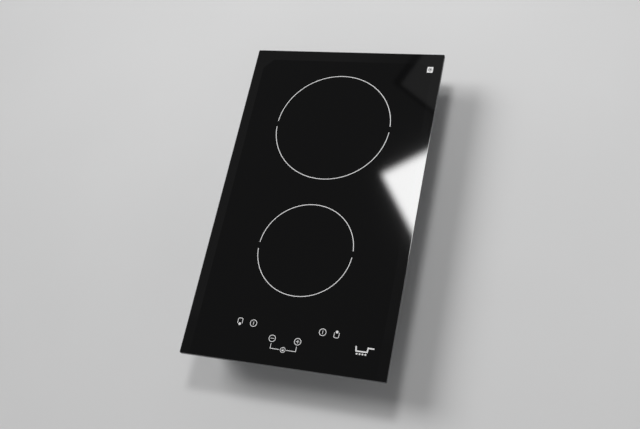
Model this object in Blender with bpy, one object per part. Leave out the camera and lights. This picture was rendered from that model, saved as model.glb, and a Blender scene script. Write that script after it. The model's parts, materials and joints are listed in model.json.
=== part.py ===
"""A built-in induction cooktop with two zones, one behind the other, in metres with +Z up.

The origin is the middle of the footprint, level with the underside of the bottom cover.
+X is the right-hand side seen from the controls, and +Y runs from the controls to the rear.
"""

import math

import bmesh
import bpy
from mathutils import Matrix, Vector

MM = 0.001
GAP = 0.3 * MM  # the air kept between two pieces that touch

# Glass
GLASS_WIDTH = 300 * MM
GLASS_DEPTH = 505 * MM
GLASS_THICK = 4 * MM
GLASS_CORNER = 2.5 * MM
GLASS_BEVEL = 0.6 * MM
TOTAL_HEIGHT = 58 * MM

# Steel case, glued under the glass
CASE_SIDE_INSET = 15 * MM  # from the edge of the glass to the wall, left and right
CASE_END_INSET = 17.5 * MM  # the same at the front and the rear
CASE_CORNER = 10 * MM
CASE_SHEET = 0.8 * MM
CASE_FLANGE = 8 * MM
BOND_SPACE = 1 * MM  # the height that the silicone bond fills
CASE_HEIGHT = 29 * MM  # from the top of the flange to the underside of the ledge

# Foam seal on the worktop
SEAL_WIDTH = 6.5 * MM
SEAL_INSET = 2 * MM
SEAL_THICK = 2.5 * MM

# Bottom cover
COVER_SHEET = 1 * MM
COVER_CORNER = 6 * MM
COVER_FLANGE = 8 * MM
COVER_SIDE_INSET = 25 * MM  # from the case wall to the cover's wall, left and right
COVER_FRONT_INSET = 15 * MM
TERMINAL_STRIP = 85 * MM  # the part of the case behind the cover, over the terminal box
LOUVRE_COUNT = 12
LOUVRE_WIDTH = 4 * MM
LOUVRE_HEIGHT = 11 * MM
LOUVRE_PITCH = 9 * MM
GRILLE_SLOT = 3 * MM
GRILLE_PITCH = 6 * MM

# Coil plate
PLATE_SHEET = 1.5 * MM
PLATE_BELOW_GLASS = 15.5 * MM
PLATE_SIDE_INSET = 19 * MM
PLATE_END_INSET = 9 * MM
LEAD_HOLE = 6 * MM
RIBBON_SLOT = (26 * MM, 9 * MM)

# Coils: the zones are centred in the width
REAR_ZONE_INSET = 132.1 * MM  # from the rear edge of the glass to the zone's centre
FRONT_ZONE_INSET = 172.6 * MM  # from the front edge of the glass
REAR_COIL_RADIUS = 82 * MM
FRONT_COIL_RADIUS = 65 * MM
COIL_EYE = 24 * MM  # the winding's inner radius
MICA_THICK = 0.8 * MM
MICA_BORDER = 3.5 * MM
WINDING_THICK = 4.5 * MM
FORMER_THICK = 2.5 * MM
FORMER_WINDOWS = 8
FERRITE_THICK = 4 * MM
FERRITE_WIDTH = 15 * MM
FERRITE_COUNT = 4
SPRING_COUNT = 3
SPRING_RADIUS = 4.5 * MM
SPRING_WIRE = 0.5 * MM
SPRING_TURNS = 3
SENSOR_RADIUS = 4 * MM
COIL_TRAVEL = 2 * MM

# Swivelling hooks that hold the case in the worktop
HOOK_INSET = 9 * MM  # from the case wall to the pivot
HOOK_WIDTH = 12 * MM
HOOK_THICK = 2 * MM
HOOK_REACH = 45 * MM
HOOK_BEND = 17 * MM
WORKTOP = 38 * MM
FRONT_HOOK_PLACE = 85 * MM  # from the case's front wall to the pivot
REAR_HOOK_PLACE = 115 * MM  # from the case's rear wall to the pivot
HOOK_SCREW_RADIUS = 2.5 * MM
HOOK_SCREW_HEAD = 4.5 * MM
HOOK_SCREW_HEAD_THICK = 3 * MM

# Terminal box
BOX_WIDTH = 90 * MM
BOX_DEPTH = 60 * MM
BOX_WALL = 1.6 * MM
BOX_SIDE_INSET = 25 * MM
BOX_REAR_INSET = 9 * MM
LID_THICK = 1.3 * MM
LID_CLEARANCE = 0.7 * MM  # from the lid's underside to the ground
PIN_RADIUS = 1 * MM
KNUCKLE_RADIUS = 2.4 * MM
KNUCKLE_LENGTH = 8 * MM
PIN_DISTANCE = 3.5 * MM  # from the box's front wall to the hinge pins
CABLE_HOLE = 5.5 * MM
CLAMP_BAR = 2 * MM
BLOCK_POLES = 6

# Electronics
BOARD_THICK = 1.6 * MM
BOARD_STANDOFF = 4 * MM
BOARD_MARGIN = 5 * MM
FAN_RADIUS = 39 * MM
FAN_HOUSING_HEIGHT = 25.5 * MM
FAN_MARGIN = 3 * MM
FAN_WALL = 1.5 * MM
FAN_BLADES = 20
SINK_WIDTH = 60 * MM
SINK_LENGTH = 150 * MM
SINK_HEIGHT = 26 * MM
SINK_FINS = 10
CAPACITOR = (42 * MM, 22 * MM, 24 * MM)
RELAY = (29 * MM, 13 * MM, 15.7 * MM)
CHOKE_RADIUS = 14 * MM
CHOKE_CORE = 6 * MM
COLUMN_INSET = 40 * MM  # from the edge of the board to the row of capacitors
COLUMN_SPACE = 10 * MM
TOUCH_WIDTH = 176 * MM
TOUCH_DEPTH = 47 * MM
TOUCH_WALL = 1.5 * MM
LEAD_RADIUS = 2.4 * MM

# Worked out from the sizes above
GLASS_UNDER = TOTAL_HEIGHT - GLASS_THICK
FLANGE_TOP = GLASS_UNDER - BOND_SPACE
CASE_X = GLASS_WIDTH / 2 - CASE_SIDE_INSET
CASE_Y = GLASS_DEPTH / 2 - CASE_END_INSET
LEDGE_HEIGHT = FLANGE_TOP - CASE_HEIGHT
LEDGE_TOP = LEDGE_HEIGHT + CASE_SHEET
COVER_X = CASE_X - COVER_SIDE_INSET
COVER_FRONT = -CASE_Y + COVER_FRONT_INSET
COVER_REAR = CASE_Y - TERMINAL_STRIP
COVER_FLOOR = COVER_SHEET
PLATE_Z = GLASS_UNDER - PLATE_BELOW_GLASS
PLATE_X = CASE_X - PLATE_SIDE_INSET
PLATE_Y = CASE_Y - PLATE_END_INSET
REAR_ZONE_Y = GLASS_DEPTH / 2 - REAR_ZONE_INSET
FRONT_ZONE_Y = -GLASS_DEPTH / 2 + FRONT_ZONE_INSET
HOOK_X = CASE_X - HOOK_INSET
HOOK_TOP = LEDGE_HEIGHT - 2 * GAP
HOOK_PAD = GLASS_UNDER - GAP - SEAL_THICK - WORKTOP
FRONT_HOOK_Y = -CASE_Y + FRONT_HOOK_PLACE
REAR_HOOK_Y = CASE_Y - REAR_HOOK_PLACE
BOX_RIGHT = CASE_X - BOX_SIDE_INSET
BOX_LEFT = BOX_RIGHT - BOX_WIDTH
BOX_REAR = CASE_Y - BOX_REAR_INSET
BOX_FRONT = BOX_REAR - BOX_DEPTH
BOX_TOP = LEDGE_HEIGHT - GAP
BOX_BOTTOM = LID_CLEARANCE + LID_THICK + GAP
HINGE_Y = BOX_FRONT - PIN_DISTANCE
HINGE_Z = LID_CLEARANCE + GAP + KNUCKLE_RADIUS
MAINS_HOLE_X = BOX_RIGHT - 14 * MM
MAINS_HOLE_Y = BOX_FRONT + 12 * MM
MAINS_HOLE = 4 * MM
FAN_OUTER = FAN_RADIUS + 9 * MM  # half of the housing's square
FAN_X = COVER_X - COVER_SHEET - FAN_MARGIN - FAN_OUTER
FAN_Y = COVER_REAR - COVER_SHEET - FAN_MARGIN - FAN_OUTER
BOARD_X = COVER_X - COVER_SHEET - BOARD_MARGIN
BOARD_FRONT = COVER_FRONT + COVER_SHEET + BOARD_MARGIN
BOARD_REAR = FAN_Y - FAN_OUTER - BOARD_MARGIN
BASE_BOTTOM = COVER_FLOOR + GAP
BOARD_BOTTOM = BASE_BOTTOM + BOARD_STANDOFF
BOARD_TOP = BOARD_BOTTOM + BOARD_THICK
ON_BOARD = BOARD_TOP + GAP
SINK_X = FAN_X
SINK_REAR = BOARD_REAR - 12 * MM
TOUCH_REAR = -CASE_Y + 2 * MM + TOUCH_DEPTH
TOUCH_FRONT = TOUCH_REAR - TOUCH_DEPTH
TOUCH_BOTTOM = PLATE_Z + 6 * MM
TOUCH_RIM = FLANGE_TOP - CASE_SHEET - GAP
COLUMN_X = -BOARD_X + COLUMN_INSET
LEAD_X = COLUMN_X + CAPACITOR[0] / 2 + 12 * MM
REAR_LEAD_Y = REAR_ZONE_Y - REAR_COIL_RADIUS - 11 * MM
FRONT_LEAD_Y = FRONT_ZONE_Y + FRONT_COIL_RADIUS + 11 * MM
RIBBON_Y = TOUCH_REAR + 9 * MM


# Outlines


def circle(radius, steps, x=0.0, y=0.0):
    turn = 2 * math.pi / steps
    return [
        (x + radius * math.cos(i * turn), y + radius * math.sin(i * turn))
        for i in range(steps)
    ]


def rectangle(left, right, front, rear):
    return [(left, front), (right, front), (right, rear), (left, rear)]


def rounded(left, right, front, rear, radius, steps=3):
    """A rectangle with round corners, anticlockwise from the front right corner."""
    corners = (
        (right - radius, front + radius, -90),
        (right - radius, rear - radius, 0),
        (left + radius, rear - radius, 90),
        (left + radius, front + radius, 180),
    )
    points = []
    for x, y, start in corners:
        for i in range(steps + 1):
            angle = math.radians(start + 90 * i / steps)
            points.append((x + radius * math.cos(angle), y + radius * math.sin(angle)))
    return points


def at_height(outline, z):
    return [(x, y, z) for x, y in outline]


# Solids, each as a bmesh


def prism(outline, low, high, holes=()):
    """The outline less its holes, from one height to another."""
    bm = bmesh.new()
    for loop in (outline, *holes):
        verts = [bm.verts.new((x, y, low)) for x, y in loop]
        for a, b in zip(verts, verts[1:] + verts[:1]):
            bm.edges.new((a, b))
    bmesh.ops.triangle_fill(bm, use_beauty=True, use_dissolve=False, edges=bm.edges[:])
    raised = bmesh.ops.extrude_face_region(bm, geom=bm.faces[:])["geom"]
    top = [v for v in raised if isinstance(v, bmesh.types.BMVert)]
    bmesh.ops.translate(bm, verts=top, vec=(0, 0, high - low))
    bmesh.ops.recalc_face_normals(bm, faces=bm.faces[:])
    return bm


def block(left, right, front, rear, low, high):
    return prism(rectangle(left, right, front, rear), low, high)


def lying_prism(outline, left, right):
    """An outline of (y, z) points, run along X."""
    bm = prism(outline, left, right)
    bmesh.ops.transform(
        bm,
        matrix=Matrix(((0, 0, 1, 0), (1, 0, 0, 0), (0, 1, 0, 0), (0, 0, 0, 1))),
        verts=bm.verts,
    )
    return bm


def lofted(loops, ring=False):
    """A skin through loops with the same number of points. A ring joins the last loop to the
    first; otherwise both end loops are filled."""
    bm = bmesh.new()
    rows = [[bm.verts.new(point) for point in loop] for loop in loops]
    pairs = list(zip(rows, rows[1:]))
    if ring:
        pairs.append((rows[-1], rows[0]))
    for low, high in pairs:
        for i, vert in enumerate(low):
            bm.faces.new((vert, low[i - 1], high[i - 1], high[i]))
    if not ring:
        bm.faces.new(rows[0])
        bm.faces.new(rows[-1])
    bmesh.ops.recalc_face_normals(bm, faces=bm.faces[:])
    return bm


def turned(profile, steps, closed=False):
    """A profile of (radius, z) points spun about Z. A closed profile makes a ring; an open one
    starts and ends on the axis."""
    bm = bmesh.new()
    verts = [bm.verts.new((radius, 0, z)) for radius, z in profile]
    edges = [bm.edges.new(pair) for pair in zip(verts, verts[1:])]
    if closed:
        edges.append(bm.edges.new((verts[-1], verts[0])))
    bmesh.ops.spin(
        bm, geom=verts + edges, axis=(0, 0, 1), cent=(0, 0, 0), angle=2 * math.pi, steps=steps
    )
    bmesh.ops.remove_doubles(bm, verts=bm.verts[:], dist=0.001 * MM)
    bmesh.ops.recalc_face_normals(bm, faces=bm.faces[:])
    return bm


def together(solids):
    """Several solids that don't meet, as one bmesh to cut or fuse with."""
    whole = bmesh.new()
    for bm in solids:
        mesh = bpy.data.meshes.new("part")
        bm.to_mesh(mesh)
        bm.free()
        whole.from_mesh(mesh)
        bpy.data.meshes.remove(mesh)
    return whole


def tray(left, right, front, rear, radius, mouth, floor, sheet):
    """A pressed tray with its mouth at one height and the outside of its floor at another."""
    down = math.copysign(sheet, mouth - floor)
    outer = rounded(left, right, front, rear, radius)
    inner = rounded(
        left + sheet, right - sheet, front + sheet, rear - sheet, max(radius - sheet, sheet / 4)
    )
    return lofted(
        [at_height(outer, floor), at_height(outer, mouth), at_height(inner, mouth),
         at_height(inner, floor + down)]
    )


# Objects


def finish(name, colour, roughness, metallic=0.0):
    made = bpy.data.materials.new(name)
    made.use_nodes = True
    shader = made.node_tree.nodes["Principled BSDF"]
    shader.inputs["Base Color"].default_value = (*colour, 1)
    shader.inputs["Roughness"].default_value = roughness
    shader.inputs["Metallic"].default_value = metallic
    made.diffuse_color = (*colour, 1)
    return made


def place(obj, at, parent):
    bpy.context.scene.collection.objects.link(obj)
    obj.location = at
    obj.parent = parent
    return obj


def add(name, bm, material, at=(0, 0, 0), parent=None, angle=0.0, smooth=True):
    mesh = bpy.data.meshes.new(name)
    bm.to_mesh(mesh)
    bm.free()
    mesh.materials.append(material)
    if smooth:
        mesh.shade_smooth()
        mesh.set_sharp_from_angle(angle=math.radians(35))
    obj = place(bpy.data.objects.new(name, mesh), at, parent)
    obj.rotation_euler.z = angle
    return obj


def axis_empty(name, at):
    return place(bpy.data.objects.new(name, None), at, None)


def combine(obj, name, bm, operation):
    """Cuts a solid from an object, or fuses one to it, with a hidden helper."""
    mesh = bpy.data.meshes.new(name)
    bm.to_mesh(mesh)
    bm.free()
    helper = place(bpy.data.objects.new(name, mesh), (0, 0, 0), obj)
    helper.hide_render = True
    helper.display_type = "WIRE"
    modifier = obj.modifiers.new(name, "BOOLEAN")
    modifier.operation = operation
    modifier.solver = "EXACT"
    modifier.object = helper


def cut(obj, name, bm):
    combine(obj, name, bm, "DIFFERENCE")


def fuse(obj, name, bm):
    combine(obj, name, bm, "UNION")


def wire(name, points, radius, material, parent=None, sides=1):
    """A round wire along a list of points."""
    curve = bpy.data.curves.new(name, "CURVE")
    curve.dimensions = "3D"
    curve.bevel_depth = radius
    curve.bevel_resolution = sides
    curve.use_fill_caps = True
    spline = curve.splines.new("POLY")
    spline.points.add(len(points) - 1)
    for point, co in zip(spline.points, points):
        point.co = (*co, 1)
    curve.materials.append(material)
    return place(bpy.data.objects.new(name, curve), (0, 0, 0), parent)


# Glass, bond, seal and case


def build_glass():
    loops = []
    for inset, z in (
        (0, GLASS_UNDER),
        (0, TOTAL_HEIGHT - GLASS_BEVEL),
        (GLASS_BEVEL, TOTAL_HEIGHT),
    ):
        x = GLASS_WIDTH / 2 - inset
        y = GLASS_DEPTH / 2 - inset
        loops.append(at_height(rounded(-x, x, -y, y, GLASS_CORNER - inset), z))
    add("glass_top", lofted(loops), finish("black glass ceramic", (0.006, 0.006, 0.007), 0.04))


def flat_ring(x_out, y_out, r_out, x_in, y_in, r_in, low, high):
    outer = rounded(-x_out, x_out, -y_out, y_out, r_out)
    inner = rounded(-x_in, x_in, -y_in, y_in, r_in)
    return lofted(
        [at_height(outer, low), at_height(outer, high), at_height(inner, high), at_height(inner, low)],
        ring=True,
    )


def build_bond_and_seal():
    edge = 0.7 * MM
    bond = flat_ring(
        CASE_X - edge, CASE_Y - edge, CASE_CORNER - edge,
        CASE_X - CASE_FLANGE + edge, CASE_Y - CASE_FLANGE + edge, CASE_CORNER - edge,
        FLANGE_TOP + GAP, GLASS_UNDER - GAP,
    )
    add("glass_bond", bond, finish("black silicone", (0.02, 0.02, 0.02), 0.5))
    x = GLASS_WIDTH / 2 - SEAL_INSET
    y = GLASS_DEPTH / 2 - SEAL_INSET
    seal = flat_ring(
        x, y, GLASS_CORNER, x - SEAL_WIDTH, y - SEAL_WIDTH, GLASS_CORNER,
        GLASS_UNDER - GAP - SEAL_THICK, GLASS_UNDER - GAP,
    )
    add("worktop_seal", seal, finish("closed-cell foam", (0.03, 0.03, 0.032), 0.9))


def hook_pivots():
    """Where each hook turns: its name, its place and the side it swings to."""
    for end, y in (("front", FRONT_HOOK_Y), ("rear", REAR_HOOK_Y)):
        for side, sign in (("left", -1), ("right", 1)):
            yield f"{end}_{side}", sign * HOOK_X, y, end


def build_case():
    sheet = CASE_SHEET
    flange = CASE_FLANGE

    def around(inset, z):
        x = CASE_X - inset
        y = CASE_Y - inset
        return at_height(rounded(-x, x, -y, y, max(CASE_CORNER - inset, 2 * MM)), z)

    window = rounded(-COVER_X, COVER_X, COVER_FRONT, COVER_REAR, COVER_CORNER)
    section = [
        around(0, FLANGE_TOP),
        around(0, LEDGE_HEIGHT),
        at_height(window, LEDGE_HEIGHT),
        at_height(window, LEDGE_TOP),
        around(sheet, LEDGE_TOP),
        around(sheet, FLANGE_TOP - sheet),
        around(flange, FLANGE_TOP - sheet),
        around(flange, FLANGE_TOP),
    ]
    case = add(
        "case_frame", lofted(section, ring=True), finish("galvanised steel", (0.55, 0.56, 0.57), 0.4, 0.9)
    )
    holes = [
        prism(circle(HOOK_SCREW_RADIUS + GAP, 12, x, y), LEDGE_HEIGHT - MM, LEDGE_TOP + MM)
        for _, x, y, _ in hook_pivots()
    ]
    holes.append(
        prism(circle(MAINS_HOLE, 12, MAINS_HOLE_X, MAINS_HOLE_Y), LEDGE_HEIGHT - MM, LEDGE_TOP + MM)
    )
    cut(case, "case_holes", together(holes))


def build_cover():
    sheet = COVER_SHEET
    top = LEDGE_HEIGHT - GAP
    flange = COVER_FLANGE

    def loop(inset, z):
        return at_height(
            rounded(
                -COVER_X + inset, COVER_X - inset, COVER_FRONT + inset, COVER_REAR - inset,
                COVER_CORNER - inset,
            ),
            z,
        )

    cover = add(
        "bottom_cover",
        lofted([
            loop(0, 0), loop(0, top - sheet), loop(-flange, top - sheet), loop(-flange, top),
            loop(sheet, top), loop(sheet, COVER_FLOOR),
        ]),
        finish("zinc-plated steel", (0.6, 0.6, 0.6), 0.42, 0.9),
    )
    slots = []
    eye = FAN_RADIUS - 7 * MM
    rows = int(eye // GRILLE_PITCH)
    for i in range(-rows, rows + 1):
        x = i * GRILLE_PITCH
        half = math.sqrt(eye ** 2 - x ** 2)
        slots.append(
            block(FAN_X + x - GRILLE_SLOT / 2, FAN_X + x + GRILLE_SLOT / 2, FAN_Y - half, FAN_Y + half,
                  -MM, COVER_FLOOR + MM)
        )
    cut(cover, "fan_grille", together(slots))
    louvres = []
    middle = (COVER_FRONT + FAN_Y) / 2 - LOUVRE_PITCH * (LOUVRE_COUNT - 1) / 2
    for i in range(LOUVRE_COUNT):
        y = middle + i * LOUVRE_PITCH
        louvres.append(
            block(-COVER_X - MM, COVER_X + MM, y - LOUVRE_WIDTH / 2, y + LOUVRE_WIDTH / 2,
                  7 * MM, 7 * MM + LOUVRE_HEIGHT)
        )
    cut(cover, "louvres", together(louvres))


# Coils


def build_coil_plate():
    low = LEDGE_TOP + GAP
    plate = add(
        "coil_plate",
        tray(-PLATE_X, PLATE_X, -PLATE_Y, PLATE_Y, 4 * MM, low, PLATE_Z, PLATE_SHEET),
        finish("sheet aluminium", (0.72, 0.73, 0.74), 0.35, 1.0),
    )
    below = PLATE_Z - PLATE_SHEET - MM
    above = PLATE_Z + MM
    half_x = RIBBON_SLOT[0] / 2
    half_y = RIBBON_SLOT[1] / 2
    windows = [
        prism(circle(COIL_EYE - 4 * MM, 20, 0, REAR_ZONE_Y), below, above),
        prism(circle(COIL_EYE - 4 * MM, 20, 0, FRONT_ZONE_Y), below, above),
        prism(circle(LEAD_HOLE, 12, LEAD_X, REAR_LEAD_Y), below, above),
        prism(circle(LEAD_HOLE, 12, LEAD_X, FRONT_LEAD_Y), below, above),
        block(-half_x, half_x, RIBBON_Y - half_y, RIBBON_Y + half_y, below, above),
    ]
    cut(plate, "plate_windows", together(windows))


def sector(inner, outer, middle, half_angle, steps):
    """A window between two radii, round an angle."""
    outline = []
    for radius, sign in ((outer, 1), (inner, -1)):
        for i in range(steps + 1):
            angle = middle + sign * half_angle * (2 * i / steps - 1)
            outline.append((radius * math.cos(angle), radius * math.sin(angle)))
    return outline


def build_coil(name, zone_y, radius):
    axis = axis_empty(f"{name}_coil_axis", (0, zone_y, 0))
    mica_top = GLASS_UNDER - GAP
    mica_low = mica_top - MICA_THICK
    winding_top = mica_low - GAP
    winding_low = winding_top - WINDING_THICK
    former_top = winding_low - GAP
    former_low = former_top - FORMER_THICK
    ferrite_top = former_low - GAP
    ferrite_low = ferrite_top - FERRITE_THICK
    mica = prism(
        circle(radius + MICA_BORDER, 48), mica_low, mica_top, [circle(SENSOR_RADIUS + MM, 16)]
    )
    add(f"{name}_mica", mica, finish("mica sheet", (0.45, 0.42, 0.35), 0.45), parent=axis)
    winding = prism(circle(radius, 64), winding_low, winding_top, [circle(COIL_EYE, 32)])
    add(f"{name}_winding", winding, finish("enamelled copper", (0.55, 0.2, 0.08), 0.35, 0.8), parent=axis)
    share = 2 * math.pi / FORMER_WINDOWS
    windows = [circle(SENSOR_RADIUS + GAP, 16)]
    for i in range(FORMER_WINDOWS):
        windows.append(
            sector(COIL_EYE - 2 * MM, radius - 14 * MM, (i + 0.5) * share, 0.28 * share, 4)
        )
    former = prism(circle(radius + MM, 48), former_low, former_top, windows)
    plastic = finish("glass-filled plastic", (0.05, 0.05, 0.052), 0.55)
    add(f"{name}_former", former, plastic, parent=axis)
    for i in range(FERRITE_COUNT):
        bar = block(
            COIL_EYE, radius - 3 * MM, -FERRITE_WIDTH / 2, FERRITE_WIDTH / 2, ferrite_low, ferrite_top
        )
        add(
            f"{name}_ferrite_{i + 1}", bar, finish("ferrite", (0.07, 0.07, 0.075), 0.6), parent=axis,
            angle=math.pi / 4 + i * math.pi / 2,
        )
    spring_low = PLATE_Z + GAP + SPRING_WIRE
    spring_high = former_low - GAP - SPRING_WIRE
    steel = finish("spring steel", (0.5, 0.5, 0.5), 0.3, 1.0)
    around = radius - 12 * MM
    per_turn = 10
    for i in range(SPRING_COUNT):
        place_angle = math.pi / 2 + i * 2 * math.pi / SPRING_COUNT
        centre = Vector((around * math.cos(place_angle), around * math.sin(place_angle), 0))
        points = []
        for k in range(SPRING_TURNS * per_turn + 1):
            turn = k * 2 * math.pi / per_turn
            rise = k / (SPRING_TURNS * per_turn)
            points.append(
                centre
                + Vector((
                    SPRING_RADIUS * math.cos(turn),
                    SPRING_RADIUS * math.sin(turn),
                    spring_low + rise * (spring_high - spring_low),
                ))
            )
        wire(f"{name}_spring_{i + 1}", points, SPRING_WIRE, steel, parent=axis)
    collar = SENSOR_RADIUS + 2 * MM
    sensor = turned(
        [
            (0, mica_top), (SENSOR_RADIUS, mica_top), (SENSOR_RADIUS, former_low - GAP),
            (collar, former_low - GAP), (collar, former_low - GAP - 1.5 * MM), (0, former_low - GAP - 1.5 * MM),
        ],
        16,
    )
    add(f"{name}_sensor", sensor, finish("sensor ceramic", (0.75, 0.74, 0.7), 0.4), parent=axis)


# Fixing hooks


def build_hooks():
    steel = finish("passivated steel", (0.62, 0.6, 0.52), 0.38, 0.9)
    half = HOOK_WIDTH / 2
    low = HOOK_TOP - HOOK_THICK
    upper = []
    lower = []
    widths = []
    for i in range(1, 6):
        angle = math.radians(90 * i / 5)
        y = -half * math.cos(angle)
        upper.append((y, HOOK_TOP))
        lower.append((y, low))
        widths.append(half * math.sin(angle))
    bend = HOOK_BEND
    upper += [(bend + HOOK_THICK, HOOK_TOP), (bend + HOOK_THICK, HOOK_PAD), (HOOK_REACH, HOOK_PAD)]
    lower += [(bend, low), (bend, HOOK_PAD - HOOK_THICK), (HOOK_REACH, HOOK_PAD - HOOK_THICK)]
    widths += [half] * 3
    for name, x, y, end in hook_pivots():
        sections = [
            [(-w, *down), (w, *down), (w, *up), (-w, *up)]
            for w, down, up in zip(widths, lower, upper)
        ]
        hook = add(
            f"hook_{name}", lofted(sections), steel, at=(x, y, 0), angle=0 if end == "front" else math.pi
        )
        cut(
            hook, f"hook_{name}_hole",
            prism(circle(HOOK_SCREW_RADIUS + GAP, 12), low - MM, HOOK_TOP + MM),
        )
        head = low - GAP
        screw = turned(
            [
                (0, LEDGE_TOP + 3 * MM), (HOOK_SCREW_RADIUS, LEDGE_TOP + 3 * MM),
                (HOOK_SCREW_RADIUS, head), (HOOK_SCREW_HEAD, head),
                (HOOK_SCREW_HEAD, head - HOOK_SCREW_HEAD_THICK + MM),
                (HOOK_SCREW_HEAD - MM, head - HOOK_SCREW_HEAD_THICK), (0, head - HOOK_SCREW_HEAD_THICK),
            ],
            12,
        )
        add(f"hook_screw_{name}", screw, steel, at=(x, y, 0))


# Terminal box


def build_terminals():
    grey = finish("grey polyamide", (0.2, 0.2, 0.21), 0.5)
    box = add(
        "terminal_box",
        tray(BOX_LEFT, BOX_RIGHT, BOX_FRONT, BOX_REAR, 2 * MM, BOX_BOTTOM, BOX_TOP, BOX_WALL),
        grey,
    )
    middle = (BOX_LEFT + BOX_RIGHT) / 2
    cable_z = BOX_TOP - BOX_WALL - CABLE_HOLE - MM / 2
    mouth = prism(circle(CABLE_HOLE, 16), -5 * MM, 5 * MM)
    bmesh.ops.transform(
        mouth,
        matrix=Matrix.Translation((middle, BOX_REAR, cable_z)) @ Matrix.Rotation(math.pi / 2, 4, "X"),
        verts=mouth.verts,
    )
    cut(box, "cable_mouth", mouth)
    cut(
        box, "mains_hole",
        prism(circle(MAINS_HOLE, 12, MAINS_HOLE_X, MAINS_HOLE_Y), BOX_TOP - 4 * MM, BOX_TOP + MM),
    )
    lug = 4 * MM
    knuckles = []
    for side, edge in ((1, BOX_LEFT + 8 * MM), (-1, BOX_RIGHT - 8 * MM)):
        inner = edge + side * lug
        lug_left, lug_right = sorted((edge, inner))
        fuse(
            box, f"hinge_lug_{'left' if side > 0 else 'right'}",
            block(lug_left, lug_right, HINGE_Y - 2.4 * MM, BOX_FRONT + BOX_WALL / 2, BOX_BOTTOM + 0.2 * MM,
                  HINGE_Z + 3 * MM),
        )
        pin_end = inner + side * KNUCKLE_LENGTH
        pin_left, pin_right = sorted((edge + side * lug / 2, pin_end))
        pin = lying_prism(circle(PIN_RADIUS, 12, HINGE_Y, HINGE_Z), pin_left, pin_right)
        fuse(box, f"hinge_pin_{'left' if side > 0 else 'right'}", pin)
        knuckles.append(sorted((inner + side * GAP, pin_end)))

    hinge = axis_empty("terminal_hinge_axis", (middle, HINGE_Y, HINGE_Z))
    offset = Vector((middle, HINGE_Y, HINGE_Z))
    plate = block(
        BOX_LEFT - middle, BOX_RIGHT - middle, BOX_FRONT - HINGE_Y, BOX_REAR - HINGE_Y,
        LID_CLEARANCE - HINGE_Z, LID_CLEARANCE + LID_THICK - HINGE_Z,
    )
    lid = add("terminal_cover", plate, grey, parent=hinge)
    for i, (left, right) in enumerate(knuckles):
        arm = block(
            left - offset.x, right - offset.x, 0, BOX_FRONT - HINGE_Y + MM,
            LID_CLEARANCE - HINGE_Z + 0.1 * MM, LID_CLEARANCE + LID_THICK - HINGE_Z - 0.1 * MM,
        )
        fuse(lid, f"lid_arm_{i + 1}", arm)
        barrel = lying_prism(circle(KNUCKLE_RADIUS, 16), left - offset.x, right - offset.x)
        fuse(lid, f"lid_barrel_{i + 1}", barrel)
        bore = lying_prism(circle(PIN_RADIUS + GAP, 12), left - offset.x - MM, right - offset.x + MM)
        cut(lid, f"lid_bore_{i + 1}", bore)

    block_width = BOX_WIDTH - 34 * MM
    block_left = BOX_LEFT + 6 * MM
    block_front = BOX_FRONT + BOX_WALL + 3 * MM
    pitch = block_width / BLOCK_POLES
    holes = [
        circle(2.2 * MM, 10, block_left + (i + 0.5) * pitch, block_front + 10 * MM)
        for i in range(BLOCK_POLES)
    ]
    terminals = prism(
        rectangle(block_left, block_left + block_width, block_front, block_front + 20 * MM),
        BOX_BOTTOM + 4 * MM, BOX_TOP - BOX_WALL - GAP, holes,
    )
    add("terminal_block", terminals, finish("white polyamide", (0.75, 0.75, 0.72), 0.45))

    half = 14 * MM
    post = 3 * MM
    bar_low = cable_z - CABLE_HOLE - CLAMP_BAR
    roof = BOX_TOP - BOX_WALL - GAP
    staple = [
        (-half, bar_low), (half, bar_low), (half, roof), (half - post, roof),
        (half - post, bar_low + CLAMP_BAR), (-half + post, bar_low + CLAMP_BAR), (-half + post, roof),
        (-half, roof),
    ]
    clamp = prism(staple, -4 * MM, 4 * MM)
    bmesh.ops.transform(
        clamp,
        matrix=Matrix.Translation((middle, BOX_REAR - 16 * MM, 0)) @ Matrix.Rotation(math.pi / 2, 4, "X"),
        verts=clamp.verts,
    )
    add("cable_clamp", clamp, grey)


# Fan


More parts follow.
